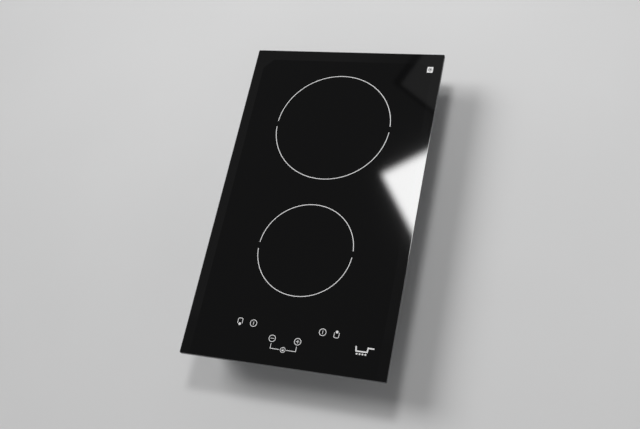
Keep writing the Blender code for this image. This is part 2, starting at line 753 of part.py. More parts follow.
def build_fan():
    plastic = finish("black moulding", (0.03, 0.03, 0.032), 0.5)
    low = COVER_FLOOR + GAP
    high = low + FAN_HOUSING_HEIGHT
    wall = FAN_WALL
    axis = axis_empty("fan_axis", (FAN_X, FAN_Y, 0))
    square = rounded(-FAN_OUTER, FAN_OUTER, -FAN_OUTER, FAN_OUTER, 6 * MM)
    floor = prism(square, low, low + wall, [circle(FAN_RADIUS - 7 * MM, 32)])
    housing = add("fan_housing", floor, plastic, parent=axis)
    # The scroll widens round the rotor and runs out at the front towards the heat sink.
    steps = 28
    outer = []
    inner = []
    for i in range(steps + 1):
        angle = math.radians(-60 - 290 * i / steps)
        radius = FAN_RADIUS + 2.5 * MM + 5 * MM * i / steps
        outer.append(((radius + wall) * math.cos(angle), (radius + wall) * math.sin(angle)))
        inner.append((radius * math.cos(angle), radius * math.sin(angle)))
    throat = outer[-1]
    outer.append((throat[0], -FAN_OUTER + MM))
    inner.append((throat[0] - wall, -FAN_OUTER + MM))
    scroll = prism(outer + inner[::-1], low + wall / 2, high - wall / 2)
    fuse(housing, "fan_scroll", scroll)
    fuse(housing, "fan_roof", prism(square, high - wall, high))

    hub = 17 * MM
    cup = 1.5 * MM
    rotor_low = low + wall + 1.5 * MM
    rotor_high = high - wall - MM
    cup_low = rotor_low + 5 * MM
    disc = turned(
        [
            (FAN_RADIUS, rotor_high), (FAN_RADIUS, rotor_high - cup), (hub, rotor_high - cup),
            (hub, cup_low), (0, cup_low), (0, cup_low + cup), (hub - cup, cup_low + cup),
            (hub - cup, rotor_high),
        ],
        40, closed=True,
    )
    rotor = add("fan_rotor", disc, finish("grey moulding", (0.3, 0.3, 0.31), 0.5), parent=axis)
    blades = []
    inner_radius = FAN_RADIUS - 9 * MM
    outer_radius = FAN_RADIUS - 0.5 * MM
    for i in range(FAN_BLADES):
        start = 2 * math.pi * i / FAN_BLADES
        front = []
        back = []
        for k in range(4):
            share = k / 3
            radius = inner_radius + share * (outer_radius - inner_radius)
            angle = start + math.radians(16) * share ** 2
            slim = 0.5 * MM / radius
            front.append((radius * math.cos(angle - slim), radius * math.sin(angle - slim)))
            back.append((radius * math.cos(angle + slim), radius * math.sin(angle + slim)))
        blades.append(prism(front + back[::-1], rotor_low + 0.5 * MM, rotor_high - cup / 2))
    fuse(rotor, "fan_blades", together(blades))
    ring = turned(
        [
            (FAN_RADIUS, rotor_low), (FAN_RADIUS, rotor_low + 1.5 * MM),
            (FAN_RADIUS - 4 * MM, rotor_low + 1.5 * MM), (FAN_RADIUS - 4 * MM, rotor_low),
        ],
        40, closed=True,
    )
    fuse(rotor, "fan_inlet_ring", ring)
    motor = turned(
        [
            (0, high - wall - GAP), (hub - cup - MM, high - wall - GAP),
            (hub - cup - MM, cup_low + cup + MM), (0, cup_low + cup + MM),
        ],
        24,
    )
    add("fan_motor", motor, finish("motor steel", (0.45, 0.45, 0.46), 0.4, 0.9), parent=axis)


# Power electronics


def build_power_board():
    outline = rectangle(-BOARD_X, BOARD_X, BOARD_FRONT, BOARD_REAR)
    base = add(
        "insulating_base", prism(outline, BASE_BOTTOM, BASE_BOTTOM + MM),
        finish("white polypropylene", (0.7, 0.7, 0.68), 0.5),
    )
    posts = [
        prism(circle(3 * MM, 10, x, y), BASE_BOTTOM + MM / 2, BOARD_BOTTOM - GAP)
        for x in (-BOARD_X + 6 * MM, BOARD_X - 6 * MM)
        for y in (BOARD_FRONT + 6 * MM, (BOARD_FRONT + BOARD_REAR) / 2, BOARD_REAR - 6 * MM)
    ]
    fuse(base, "board_posts", together(posts))
    laminate = finish("green laminate", (0.03, 0.18, 0.08), 0.4)
    add("power_board", prism(outline, BOARD_BOTTOM, BOARD_TOP), laminate)

    # The sink stands on its two outer fins, over the power devices.
    half = SINK_WIDTH / 2
    seat = ON_BOARD + 5 * MM
    fin = 1.4 * MM
    pitch = (SINK_WIDTH - fin) / (SINK_FINS - 1)
    top = ON_BOARD + SINK_HEIGHT
    comb = [(-half, ON_BOARD), (-half + fin, ON_BOARD), (-half + fin, seat), (half - fin, seat),
            (half - fin, ON_BOARD), (half, ON_BOARD), (half, top)]
    for i in range(SINK_FINS - 1):
        right = half - fin - i * pitch
        left = half - (i + 1) * pitch
        comb += [(right, top), (right, seat + 3 * MM), (left, seat + 3 * MM), (left, top)]
    comb.append((-half, top))
    sink = prism(comb, -SINK_LENGTH / 2, SINK_LENGTH / 2)
    bmesh.ops.transform(sink, matrix=Matrix.Rotation(math.pi / 2, 4, "X"), verts=sink.verts)
    aluminium = finish("extruded aluminium", (0.7, 0.71, 0.72), 0.4, 1.0)
    sink_y = SINK_REAR - SINK_LENGTH / 2
    add("heat_sink", sink, aluminium, at=(SINK_X, sink_y, 0), smooth=False)

    epoxy = finish("black epoxy", (0.02, 0.02, 0.02), 0.5)
    devices = (
        ("front_transistor", -14 * MM, -40 * MM, 16 * MM, 21 * MM),
        ("rear_transistor", -14 * MM, 20 * MM, 16 * MM, 21 * MM),
        ("bridge_rectifier", 14 * MM, -10 * MM, 22 * MM, 25 * MM),
    )
    for name, x, y, width, depth in devices:
        body = block(-width / 2, width / 2, -depth / 2, depth / 2, ON_BOARD, seat - GAP)
        add(name, body, epoxy, at=(SINK_X + x, sink_y + y, 0))

    # A row of other parts stands on the left, from the rear to the front.
    film = finish("film capacitor case", (0.72, 0.7, 0.62), 0.45)
    core = CHOKE_CORE
    round_section = [
        (CHOKE_RADIUS + core * math.cos(math.pi * k / 4), ON_BOARD + core + core * math.sin(math.pi * k / 4))
        for k in range(8)
    ]
    across = 2 * (CHOKE_RADIUS + core)
    row = (
        ("mains_relay", RELAY, None, finish("relay case", (0.1, 0.1, 0.11), 0.4)),
        ("rear_capacitor", CAPACITOR, None, film),
        ("front_capacitor", CAPACITOR, None, film),
        ("filter_choke", (across, across, 2 * core), turned(round_section, 24, closed=True),
         finish("wound choke", (0.5, 0.2, 0.09), 0.4, 0.7)),
    )
    y = BOARD_REAR - 2 * COLUMN_SPACE
    for name, (width, depth, high), shape, material in row:
        y -= depth / 2
        if shape is None:
            shape = block(-width / 2, width / 2, -depth / 2, depth / 2, ON_BOARD, ON_BOARD + high)
        add(name, shape, material, at=(COLUMN_X, y, 0))
        y -= depth / 2 + COLUMN_SPACE


# Touch controls


def build_touch_controls():
    half = TOUCH_WIDTH / 2
    carrier = add(
        "touch_carrier",
        tray(-half, half, TOUCH_FRONT, TOUCH_REAR, 2 * MM, TOUCH_RIM, TOUCH_BOTTOM, TOUCH_WALL),
        finish("black polycarbonate", (0.04, 0.04, 0.042), 0.45),
    )
    feet = [
        prism(circle(3 * MM, 10, x, y), PLATE_Z + GAP, TOUCH_BOTTOM + TOUCH_WALL / 2)
        for x in (-half + 8 * MM, half - 8 * MM)
        for y in (-PLATE_Y + 8 * MM, TOUCH_REAR - 8 * MM)
    ]
    fuse(carrier, "carrier_feet", together(feet))
    inset = TOUCH_WALL + GAP
    board = block(
        -half + inset, half - inset, TOUCH_FRONT + inset, TOUCH_REAR - inset,
        TOUCH_BOTTOM + TOUCH_WALL + GAP, TOUCH_BOTTOM + TOUCH_WALL + GAP + BOARD_THICK,
    )
    add("touch_board", board, finish("black laminate", (0.02, 0.03, 0.025), 0.4))


# Wiring


def bent_path(corners, radius, steps=4):
    """A route through its corners, with each inner corner rounded."""
    points = [Vector(corners[0])]
    for before, corner, after in zip(corners, corners[1:], corners[2:]):
        corner = Vector(corner)
        start = corner + radius * (Vector(before) - corner).normalized()
        end = corner + radius * (Vector(after) - corner).normalized()
        for i in range(steps + 1):
            t = i / steps
            points.append((1 - t) ** 2 * start + 2 * t * (1 - t) * corner + t * t * end)
    points.append(Vector(corners[-1]))
    return points


def build_wiring():
    sleeve = finish("glass-fibre sleeve", (0.7, 0.68, 0.6), 0.7)
    former_low = GLASS_UNDER - 4 * GAP - MICA_THICK - WINDING_THICK - FORMER_THICK
    high = former_low - GAP
    for name, y, towards in (("rear", REAR_LEAD_Y, 1), ("front", FRONT_LEAD_Y, -1)):
        end_y = y + towards * 8 * MM
        route = [(LEAD_X - 14 * MM, end_y, high), (LEAD_X, end_y, high), (LEAD_X, y, high - 2 * MM),
                 (LEAD_X, y, ON_BOARD)]
        points = bent_path(route, 3 * MM)
        wire(f"{name}_coil_leads", points, LEAD_RADIUS, sleeve)

    thick = 0.8 * MM
    top = TOUCH_BOTTOM + 3 * MM
    start = TOUCH_REAR + GAP
    ribbon = lying_prism(
        [
            (start, top), (start, top - thick), (RIBBON_Y - thick - MM, top - thick),
            (RIBBON_Y - thick, top - thick - MM), (RIBBON_Y - thick, ON_BOARD), (RIBBON_Y, ON_BOARD),
            (RIBBON_Y, top - MM), (RIBBON_Y - MM, top),
        ],
        -9 * MM, 9 * MM,
    )
    add("ribbon_cable", ribbon, finish("grey ribbon", (0.45, 0.45, 0.46), 0.6))

    below = max(COVER_FLOOR + GAP + FAN_HOUSING_HEIGHT, LEDGE_TOP)
    above_fan = (below + PLATE_Z - PLATE_SHEET) / 2
    down_y = BOARD_REAR - 5 * MM
    route = [
        (MAINS_HOLE_X, MAINS_HOLE_Y, BOX_TOP - 6 * MM), (MAINS_HOLE_X, MAINS_HOLE_Y, above_fan),
        (MAINS_HOLE_X, down_y, above_fan), (MAINS_HOLE_X, down_y, ON_BOARD),
    ]
    wire("mains_leads", bent_path(route, 5 * MM), LEAD_RADIUS, sleeve)


def main():
    for obj in list(bpy.data.objects):
        bpy.data.objects.remove(obj)
    build_glass()
    build_bond_and_seal()
    build_case()
    build_cover()
    build_coil_plate()
    build_coil("rear", REAR_ZONE_Y, REAR_COIL_RADIUS)
    build_coil("front", FRONT_ZONE_Y, FRONT_COIL_RADIUS)
    build_hooks()
    build_terminals()
    build_fan()
    build_power_board()
    build_touch_controls()
    build_wiring()


main()
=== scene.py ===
import json
import math
import random

import bmesh
import bpy
from mathutils import Matrix, Vector

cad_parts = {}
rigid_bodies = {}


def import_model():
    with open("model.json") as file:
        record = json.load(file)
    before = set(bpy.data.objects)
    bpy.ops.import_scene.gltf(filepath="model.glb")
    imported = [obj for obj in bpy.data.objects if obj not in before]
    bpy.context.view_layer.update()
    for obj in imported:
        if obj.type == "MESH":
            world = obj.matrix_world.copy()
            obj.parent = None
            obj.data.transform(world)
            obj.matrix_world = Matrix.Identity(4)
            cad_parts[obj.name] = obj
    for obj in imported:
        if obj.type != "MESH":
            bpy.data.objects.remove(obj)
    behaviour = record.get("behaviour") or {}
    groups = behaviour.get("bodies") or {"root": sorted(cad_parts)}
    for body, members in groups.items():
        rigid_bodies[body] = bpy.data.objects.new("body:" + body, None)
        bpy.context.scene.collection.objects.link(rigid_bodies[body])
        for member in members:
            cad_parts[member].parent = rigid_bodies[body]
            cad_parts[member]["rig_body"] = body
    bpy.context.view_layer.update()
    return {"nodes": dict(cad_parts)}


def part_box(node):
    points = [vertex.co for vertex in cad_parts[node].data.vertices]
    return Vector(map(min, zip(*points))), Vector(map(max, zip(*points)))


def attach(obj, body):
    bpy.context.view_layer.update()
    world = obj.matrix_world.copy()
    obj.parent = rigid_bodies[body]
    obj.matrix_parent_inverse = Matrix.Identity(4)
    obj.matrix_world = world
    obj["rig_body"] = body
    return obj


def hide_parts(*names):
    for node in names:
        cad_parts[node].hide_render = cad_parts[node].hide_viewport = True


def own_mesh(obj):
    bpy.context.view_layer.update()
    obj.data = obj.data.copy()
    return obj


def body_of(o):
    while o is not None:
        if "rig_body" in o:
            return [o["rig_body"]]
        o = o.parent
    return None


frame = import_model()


# ---------------------------------------------------------------- Bottom cover
# A shallow tray pressed from 1 mm galvanised sheet, which closes the case from below. The fan
# draws air in through the slots in its floor, and the air leaves through the slots in its
# sides. Its flange is screwed up into the ledge of the case.

MM = 0.001


def round_outline(left, right, front, rear, radius, steps=7):
    """A rectangle with round corners, anticlockwise from the front right corner."""
    corners = (
        (right - radius, front + radius, -90),
        (right - radius, rear - radius, 0),
        (left + radius, rear - radius, 90),
        (left + radius, front + radius, 180),
    )
    points = []
    for x, y, start in corners:
        for i in range(steps + 1):
            angle = math.radians(start + 90 * i / steps)
            points.append((x + radius * math.cos(angle), y + radius * math.sin(angle)))
    return points


def folded_sheet(path, sheet, bend, steps=4):
    """The two faces of a sheet folded along a path of (across, up) points, with true bend
    radii. The first face follows the path; the second lies a sheet's thickness to its left."""
    faces = []
    for side in (0.0, sheet):
        points = []
        for i, spot in enumerate(path):
            corner = Vector(spot)
            before = (corner - Vector(path[i - 1])).normalized() if i else None
            after = (Vector(path[i + 1]) - corner).normalized() if i + 1 < len(path) else None
            if before is None or after is None:
                way = after or before
                points.append(corner + side * Vector((-way.y, way.x)))
                continue
            turn = math.atan2(before.cross(after), before.dot(after))
            apart = Vector((-before.y - after.y, before.x + after.x))
            corner = corner + side * apart / (1 + before.dot(after))
            radius = bend + sheet if (turn > 0) == (side == 0) else bend
            start = corner - before * radius * math.tan(abs(turn) / 2)
            centre = start + math.copysign(radius, turn) * Vector((-before.y, before.x))
            for k in range(steps + 1):
                arm = start - centre
                arm.rotate(Matrix.Rotation(turn * k / steps, 2))
                points.append(centre + arm)
        faces.append(points)
    return faces


def skin(outlines, ring=False):
    """A surface through outlines of equal length. A ring closes on its first one; otherwise both
    end outlines are filled."""
    bm = bmesh.new()
    rows = [[bm.verts.new(point) for point in outline] for outline in outlines]
    pairs = list(zip(rows, rows[1:]))
    if ring:
        pairs.append((rows[-1], rows[0]))
    for low, high in pairs:
        for i, vert in enumerate(low):
            bm.faces.new((vert, low[i - 1], high[i - 1], high[i]))
    if not ring:
        bm.faces.new(rows[0])
        bm.faces.new(rows[-1])
    bmesh.ops.recalc_face_normals(bm, faces=bm.faces[:])
    return bm


class Shade:
    """One output of a shader node, so that a finish is written as plain arithmetic."""

    def __init__(self, tree, output=None):
        self.tree = tree
        self.output = output

    def feed(self, socket, value):
        if isinstance(value, Shade):
            self.tree.links.new(value.output, socket)
        else:
            socket.default_value = value

    def node(self, kind, settings=None, inputs=None, take=0):
        """Any node: its settings are set first, then its sockets, by name or by place."""
        made = self.tree.nodes.new(kind)
        for name, value in (settings or {}).items():
            setattr(made, name, value)
        for key, value in (inputs or {}).items():
            self.feed(made.inputs[key], value)
        return Shade(self.tree, made.outputs[take])

    def maths(self, operation, first, second=0.0):
        return self.node("ShaderNodeMath", {"operation": operation}, {0: first, 1: second})

    def larger(self, other):
        return self.maths("MAXIMUM", self, other)

    def __add__(self, other):
        return self.maths("ADD", self, other)

    def __sub__(self, other):
        return self.maths("SUBTRACT", self, other)

    def __rsub__(self, other):
        return self.maths("SUBTRACT", other, self)

    def __mul__(self, other):
        return self.maths("MULTIPLY", self, other)

    def __abs__(self):
        return self.maths("ABSOLUTE", self)

    __radd__ = __add__
    __rmul__ = __mul__

    def ramp(self, start, end):
        """0 below the start, 1 above the end, and smooth between them."""
        inputs = {0: self, 1: start, 2: end}
        return self.node("ShaderNodeMapRange", {"interpolation_type": "SMOOTHSTEP"}, inputs)

    def colours(self, first, second):
        """A colour that runs from the first to the second as this value runs from 0 to 1."""
        ends = [c if isinstance(c, Shade) else (*c, 1) for c in (first, second)]
        inputs = {0: self, 6: ends[0], 7: ends[1]}
        return self.node("ShaderNodeMix", {"data_type": "RGBA"}, inputs, take=2)


class Finish:
    """A material. What is the same all over sits on the shader's own sockets."""

    def __init__(self, name, constants):
        self.material = bpy.data.materials.new(name)
        self.material.use_nodes = True
        tree = self.material.node_tree
        self.shader = tree.nodes["Principled BSDF"]
        for socket, value in constants.items():
            self.shader.inputs[socket].default_value = value
        self.shade = Shade(tree)
        self.place = self.shade.node("ShaderNodeTexCoord", take="Object")

    def stretched(self, scale):
        inputs = {0: self.place, 1: scale}
        return self.shade.node("ShaderNodeVectorMath", {"operation": "MULTIPLY"}, inputs)

    def noise(self, scale, detail=3.0, place=None):
        inputs = {"Vector": place or self.place, "Scale": scale, "Detail": detail}
        return self.shade.node("ShaderNodeTexNoise", None, inputs)

    def parts(self, place):
        """The three parts of a vector."""
        kind = "ShaderNodeSeparateXYZ"
        return [self.shade.node(kind, None, {"Vector": place}, take=i) for i in range(3)]

    def vary(self, socket, value):
        self.shade.feed(self.shader.inputs[socket], value)

    def bump(self, height, depth):
        inputs = {"Height": height, "Distance": depth}
        self.vary("Normal", self.shade.node("ShaderNodeBump", None, inputs))

    def follow(self, pattern, low_colour, high_colour, gloss, spread, relief=0.0):
        """One pattern drives the colour, the roughness and, if any, the relief."""
        self.vary("Base Color", pattern.colours(low_colour, high_colour))
        self.vary("Roughness", gloss + spread * pattern)
        if relief:
            self.bump(pattern, relief)


def galvanised_finish():
    """Hot-dip zinc: grey crystals a few millimetres across, each with its own tone and gloss."""
    finish = Finish("galvanised_steel", {"Metallic": 1.0})
    shade = finish.shade
    place = {"Vector": finish.place, "Scale": 260.0}
    wander = {0: shade.node("ShaderNodeTexNoise", None, place, take=1), 3: 0.006}
    shift = shade.node("ShaderNodeVectorMath", {"operation": "SCALE"}, wander)
    wavy = shade.node("ShaderNodeVectorMath", {"operation": "ADD"}, {0: finish.place, 1: shift})
    grains = {"Vector": wavy, "Scale": 230.0}
    crystal = shade.node("ShaderNodeTexVoronoi", None, grains, take="Color")
    tone = crystal * 0.75 + finish.noise(35.0, 4.0) * 0.25
    scuffs = finish.noise(70.0, 6.0, finish.stretched((1, 0.15, 1))).ramp(0.45, 0.75)
    finish.vary("Base Color", tone.colours((0.43, 0.45, 0.47), (0.60, 0.62, 0.64)))
    finish.vary("Roughness", 0.30 + 0.16 * tone + 0.12 * scuffs)
    finish.bump(tone * 0.4 + finish.noise(1500.0) * 0.3, 0.05 * MM)
    return finish


def mesh_from(name, bm):
    mesh = bpy.data.meshes.new(name)
    bm.to_mesh(mesh)
    bm.free()
    return mesh


def in_scene(name, data):
    thing = bpy.data.objects.new(name, data)
    bpy.context.scene.collection.objects.link(thing)
    return thing


def made_piece(name, bm, finish, stands_for=(), body="hob", smooth=35):
    """A new piece that rides on a body, with its finish."""
    mesh = mesh_from(name, bm)
    piece = in_scene(name, mesh)
    mesh.materials.append(finish.material)
    if smooth:
        mesh.shade_smooth()
        mesh.set_sharp_from_angle(angle=math.radians(smooth))
        # Broad flat faces keep their own normal, and only the rounded edges turn the light.
        piece.modifiers.new("flat_faces", "WEIGHTED_NORMAL").keep_sharp = True
    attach(piece, body)
    if stands_for:
        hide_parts(*stands_for)
    return piece


def loops(low, high, section, corner, least, steps=7):
    """Round-cornered loops inside a box, one for each (inset, up) point of a section."""
    return [
        [
            (x, y, z)
            for x, y in round_outline(
                low.x + inset, high.x - inset, low.y + inset, high.y - inset,
                max(corner - inset, least), steps,
            )
        ]
        for inset, z in section
    ]


galvanised = galvanised_finish()
cover_low, cover_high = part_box("bottom_cover")
rotor_low, rotor_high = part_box("fan_rotor")
fan_centre = (rotor_low + rotor_high) / 2
cover_sheet = 1 * MM
cover_flange = 8 * MM
cover_corner = 14 * MM
cover_bend = 1.2 * MM
flange_top = cover_high.z - cover_sheet
cover_path = [
    (0, flange_top), (cover_flange, flange_top), (cover_flange, cover_low.z),
    (cover_flange + 12 * MM, cover_low.z),
]
under, upper = folded_sheet(cover_path, cover_sheet, cover_bend)
cover = made_piece(
    "pressed_bottom_cover",
    skin(loops(cover_low, cover_high, under[::-1] + upper, cover_corner, cover_bend)),
    galvanised, ["bottom_cover"],
)


def slab(outline, low, high, holes=(), into=None):
    """A flat plate between two heights, made as a new mesh or added to one."""
    bm = bmesh.new()
    for loop in (outline, *holes):
        verts = [bm.verts.new((x, y, low)) for x, y, *_ in loop]
        for a, b in zip(verts, verts[1:] + verts[:1]):
            bm.edges.new((a, b))
    bmesh.ops.triangle_fill(bm, use_beauty=True, use_dissolve=False, edges=bm.edges[:])
    raised = bmesh.ops.extrude_face_region(bm, geom=bm.faces[:])["geom"]
    top = [v for v in raised if isinstance(v, bmesh.types.BMVert)]
    bmesh.ops.translate(bm, verts=top, vec=(0, 0, high - low))
    bmesh.ops.recalc_face_normals(bm, faces=bm.faces[:])
    if into is None:
        return bm
    return added(bm, into)


def added(bm, into):
    """Moves a solid into another mesh, which comes back."""
    mesh = mesh_from("solid", bm)
    into.from_mesh(mesh)
    bpy.data.meshes.remove(mesh)
    return into


def carve(piece, bm, operation="DIFFERENCE"):
    """Cuts a solid out of a piece for good, or keeps only what lies inside it."""
    tool = in_scene("tool", mesh_from("tool", bm))
    modifier = piece.modifiers.new("carve", "BOOLEAN")
    modifier.operation = operation
    modifier.solver = "EXACT"
    modifier.object = tool
    bpy.context.view_layer.update()
    shaped = piece.evaluated_get(bpy.context.evaluated_depsgraph_get())
    cut = bpy.data.meshes.new_from_object(shaped)
    piece.modifiers.remove(modifier)
    piece.data = cut
    bpy.data.objects.remove(tool)
    cut.shade_smooth()
    cut.set_sharp_from_angle(angle=math.radians(35))


grille_eye = (rotor_high.x - rotor_low.x) / 2 - 7 * MM
grille_pitch = 6 * MM
grille_slot = 3 * MM
slot_end = 1.45 * MM
floor_cut = (cover_low.z - MM, cover_low.z + 2 * MM)
grille = bmesh.new()
rows = int(grille_eye // grille_pitch)
for i in range(-rows, rows + 1):
    across = i * grille_pitch
    half = math.sqrt(grille_eye ** 2 - across ** 2)
    x = fan_centre.x + across
    slot = round_outline(
        x - grille_slot / 2, x + grille_slot / 2, fan_centre.y - half, fan_centre.y + half, slot_end, 4
    )
    slab(slot, *floor_cut, into=grille)
carve(cover, grille)

louvres = bmesh.new()
louvre_pitch = 9 * MM
louvre_count = 12
louvre_half = 2 * MM
louvre_foot = 7 * MM
louvre_head = 18 * MM
cover_wall = cover_high.x - cover_flange
louvre_middle = (cover_low.y + cover_flange + fan_centre.y) / 2
for i in range(louvre_count):
    y = louvre_middle + (i - (louvre_count - 1) / 2) * louvre_pitch
    # Each slot is an upright outline with round ends, run right through both side walls.
    upright = round_outline(louvre_foot, louvre_head, y - louvre_half, y + louvre_half, 1.9 * MM, 4)
    opening = slab(upright, -cover_wall - MM, cover_wall + MM)
    opening.transform(Matrix(((0, 0, 1, 0), (0, 1, 0, 0), (1, 0, 0, 0), (0, 0, 0, 1))))
    bmesh.ops.reverse_faces(opening, faces=opening.faces[:])
    added(opening, louvres)
carve(cover, louvres)

# A bead is coined round the floor, to stiffen it.
bead_inset = cover_flange + 14 * MM
bead_width = 4 * MM
bead_depth = 0.4 * MM
bead_lines = [(bead_inset, 0), (bead_inset + bead_width, 0)]
outer, inner = loops(cover_low, cover_high, bead_lines, cover_corner, cover_bend)
carve(cover, slab(outer, cover_low.z - MM, cover_low.z + bead_depth, [inner]))


def turned(profile, steps, closed=False):
    """A profile of (radius, up) points turned about the Z axis."""
    bm = bmesh.new()
    verts = [bm.verts.new((radius, 0, up)) for radius, up in profile]
    edges = [bm.edges.new(pair) for pair in zip(verts, verts[1:])]
    if closed:
        edges.append(bm.edges.new((verts[-1], verts[0])))
    bmesh.ops.spin(
        bm, geom=verts + edges, axis=(0, 0, 1), cent=(0, 0, 0), angle=2 * math.pi, steps=steps
    )
    bmesh.ops.remove_doubles(bm, verts=bm.verts[:], dist=0.002 * MM)
    bmesh.ops.recalc_face_normals(bm, faces=bm.faces[:])
    return bm


def pan_screw(name, at, radius, head, length, finish, up=1):
    """A pan-head screw with a cross recess. Its head is below when up is 1, above when it is -1."""
    shank = radius * 0.55
    profile = [(0, 0), (radius * 0.6, 0)]
    for k in range(1, 5):
        angle = math.radians(90 * k / 4)
        rounded = radius * (0.6 + 0.4 * math.sin(angle))
        profile.append((rounded, head * 0.55 * (1 - math.cos(angle))))
    profile += [(radius, head), (shank, head), (shank, head + length), (0, head + length)]
    bm = turned(profile, 20)
    flip = Matrix.Translation(at) @ Matrix.Rotation(0 if up > 0 else math.pi, 4, "X")
    bm.transform(flip)
    piece = made_piece(name, bm, finish)
    arm = radius * 0.55
    slim = radius * 0.11
    cross = [
        (arm, -slim), (arm, slim), (slim, slim), (slim, arm), (-slim, arm), (-slim, slim),
        (-arm, slim), (-arm, -slim), (-slim, -slim), (-slim, -arm), (slim, -arm), (slim, -slim),
    ]
    recess = slab(cross, -MM, head * 0.55)
    recess.transform(flip)
    carve(piece, recess)
    return piece


def plated_finish():
    """Zinc plate with a clear passivation, which leaves a faint yellow and blue cast."""
    finish = Finish("plated_steel", {"Metallic": 1.0})
    cast = finish.noise(120.0, 4.0)
    finish.vary("Base Color", cast.ramp(0.35, 0.7).colours((0.60, 0.60, 0.58), (0.62, 0.56, 0.42)))
    finish.vary("Roughness", 0.22 + 0.25 * finish.noise(400.0, 5.0))
    finish.bump(finish.noise(2600.0), 0.02 * MM)
    return finish


plated = plated_finish()
screw_inset = 0.42 * cover_flange
screw_low = flange_top - 1.9 * MM
for row, y_share in enumerate((0.06, 0.36, 0.66, 0.94)):
    y = cover_low.y + y_share * (cover_high.y - cover_low.y)
    for side, x in (("left", cover_low.x + screw_inset), ("right", cover_high.x - screw_inset)):
        name = f"cover_screw_{side}_{row + 1}"
        pan_screw(name, (x, y, screw_low), 2.9 * MM, 1.8 * MM, 4 * MM, plated)

# A plain rating label lies in a shallow pressed panel, with rows of print too fine to read.
label_width = 76 * MM
label_depth = 44 * MM
label_front = cover_low.y + 60 * MM
panel_depth = 0.3 * MM


def label_outline(margin):
    return round_outline(
        -label_width / 2 - margin, label_width / 2 + margin, label_front - margin,
        label_front + label_depth + margin, 2 * MM + margin,
    )


carve(cover, slab(label_outline(1 * MM), cover_low.z - MM, cover_low.z + panel_depth))
label_film = Finish("label_film", {"IOR": 1.45})
label_film.follow(label_film.noise(500.0, 4.0), (0.68, 0.68, 0.66), (0.78, 0.78, 0.77), 0.35, 0.15)
label_ink = Finish("label_ink", {"IOR": 1.45})
label_ink.follow(label_ink.noise(900.0), (0.02, 0.02, 0.02), (0.05, 0.05, 0.05), 0.45, 0.1)
label_face = cover_low.z + 0.12 * MM
label = slab(label_outline(0), label_face, cover_low.z + panel_depth)
made_piece("rating_label", label, label_film, smooth=0)
label_edge = label_width / 2 - 4 * MM
half_letter = 0.55 * MM
word_gap = 1.6 * MM
row_pitch = 3.4 * MM
rows_of_print = bmesh.new()
random.seed(11)
line = label_front + label_depth - 5 * MM
while line > label_front + 4 * MM:
    start = -label_edge
    while start < label_edge - 8 * MM:
        end = min(start + random.uniform(4, 15) * MM, label_edge)
        word = round_outline(start, end, line - half_letter, line + half_letter, 0.2 * MM, 2)
        slab(word, label_face - 0.04 * MM, label_face + 0.01 * MM, into=rows_of_print)
        start = end + word_gap
    line -= row_pitch
made_piece("label_print", rows_of_print, label_ink, smooth=0)


# ---------------------------------------------------------------- Power board
# An insulating base of white polypropylene lies in the cover. The power board is a green glass
# laminate on its posts, and it carries the heat sink over the power transistors and the
# rectifier, and a row of capacitors, relay and filter choke.


def softened(node, finish, edge=0.2 * MM, smooth=35):
    """A solid part with its sharp edges rounded off, as a mould or a press leaves them."""
    part = frame["nodes"][node]
    bm = bmesh.new()
    bm.from_mesh(part.data)
    bmesh.ops.remove_doubles(bm, verts=bm.verts[:], dist=0.002 * MM)
    if edge:
        bmesh.ops.dissolve_limit(bm, angle_limit=0.01, verts=bm.verts[:], edges=bm.edges[:])
        sharp = [e for e in bm.edges if e.calc_face_angle() > math.radians(smooth)]
        bmesh.ops.bevel(
            bm, geom=sharp, offset=edge, segments=2, profile=0.5, affect="EDGES", clamp_overlap=True
        )
    return made_piece(f"{node}_part", bm, finish, [node], body_of(part)[0], smooth)


def moulded_finish(name, colour, roughness, grain=900.0, depth=0.03):
    """A moulded plastic: the fine spark grain of the tool, and slightly uneven gloss."""
    finish = Finish(name, {"IOR": 1.5})
    grains = finish.noise(grain, 4.0)
    drift = finish.noise(25.0, 3.0)
    darker = tuple(0.82 * c for c in colour)
    finish.vary("Base Color", (0.5 * grains + 0.5 * drift).ramp(0.3, 0.7).colours(darker, colour))
    finish.vary("Roughness", roughness - 0.06 + 0.12 * grains)
    finish.bump(grains, depth * MM)
    return finish


def laminate_finish(name, mask_colour, track_colour):
    """Solder resist over etched tracks: the tracks stand out a little and look lighter."""
    finish = Finish(name, {"IOR": 1.55})
    layout = {"offset": 0.37, "squash": 1.6, "squash_frequency": 3}
    inputs = {"Vector": finish.place, "Scale": 60.0, "Mortar Size": 0.05, "Mortar Smooth": 0.2}
    bricks = finish.shade.node("ShaderNodeTexBrick", layout, inputs, take="Fac")
    inputs = {"Vector": finish.place, "Scale": 75.0}
    diagonal = finish.shade.node("ShaderNodeTexVoronoi", {"feature": "DISTANCE_TO_EDGE"}, inputs)
    tracks = bricks.larger(1 - diagonal.ramp(0.03, 0.07))
    finish.vary("Base Color", tracks.colours(mask_colour, track_colour))
    finish.vary("Roughness", 0.34 + 0.1 * finish.noise(300.0))
    finish.bump(tracks, 0.04 * MM)
    return finish


white_plastic = moulded_finish("white_polypropylene", (0.72, 0.72, 0.70), 0.5)
softened("insulating_base", white_plastic)
green_laminate = laminate_finish("green_solder_resist", (0.012, 0.12, 0.045), (0.04, 0.25, 0.09))
softened("power_board", green_laminate, 0.1 * MM)

board_low, board_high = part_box("power_board")
board_inset = 6 * MM
board_rows = (board_low.y + board_inset, (board_low.y + board_high.y) / 2, board_high.y - board_inset)
for column, x in enumerate((board_low.x + board_inset, board_high.x - board_inset)):
    for row, y in enumerate(board_rows):
        name = f"board_screw_{column + 1}_{row + 1}"
        pan_screw(name, (x, y, board_high.z + 2 * MM), 2.8 * MM, 1.8 * MM, 3 * MM, plated, up=-1)


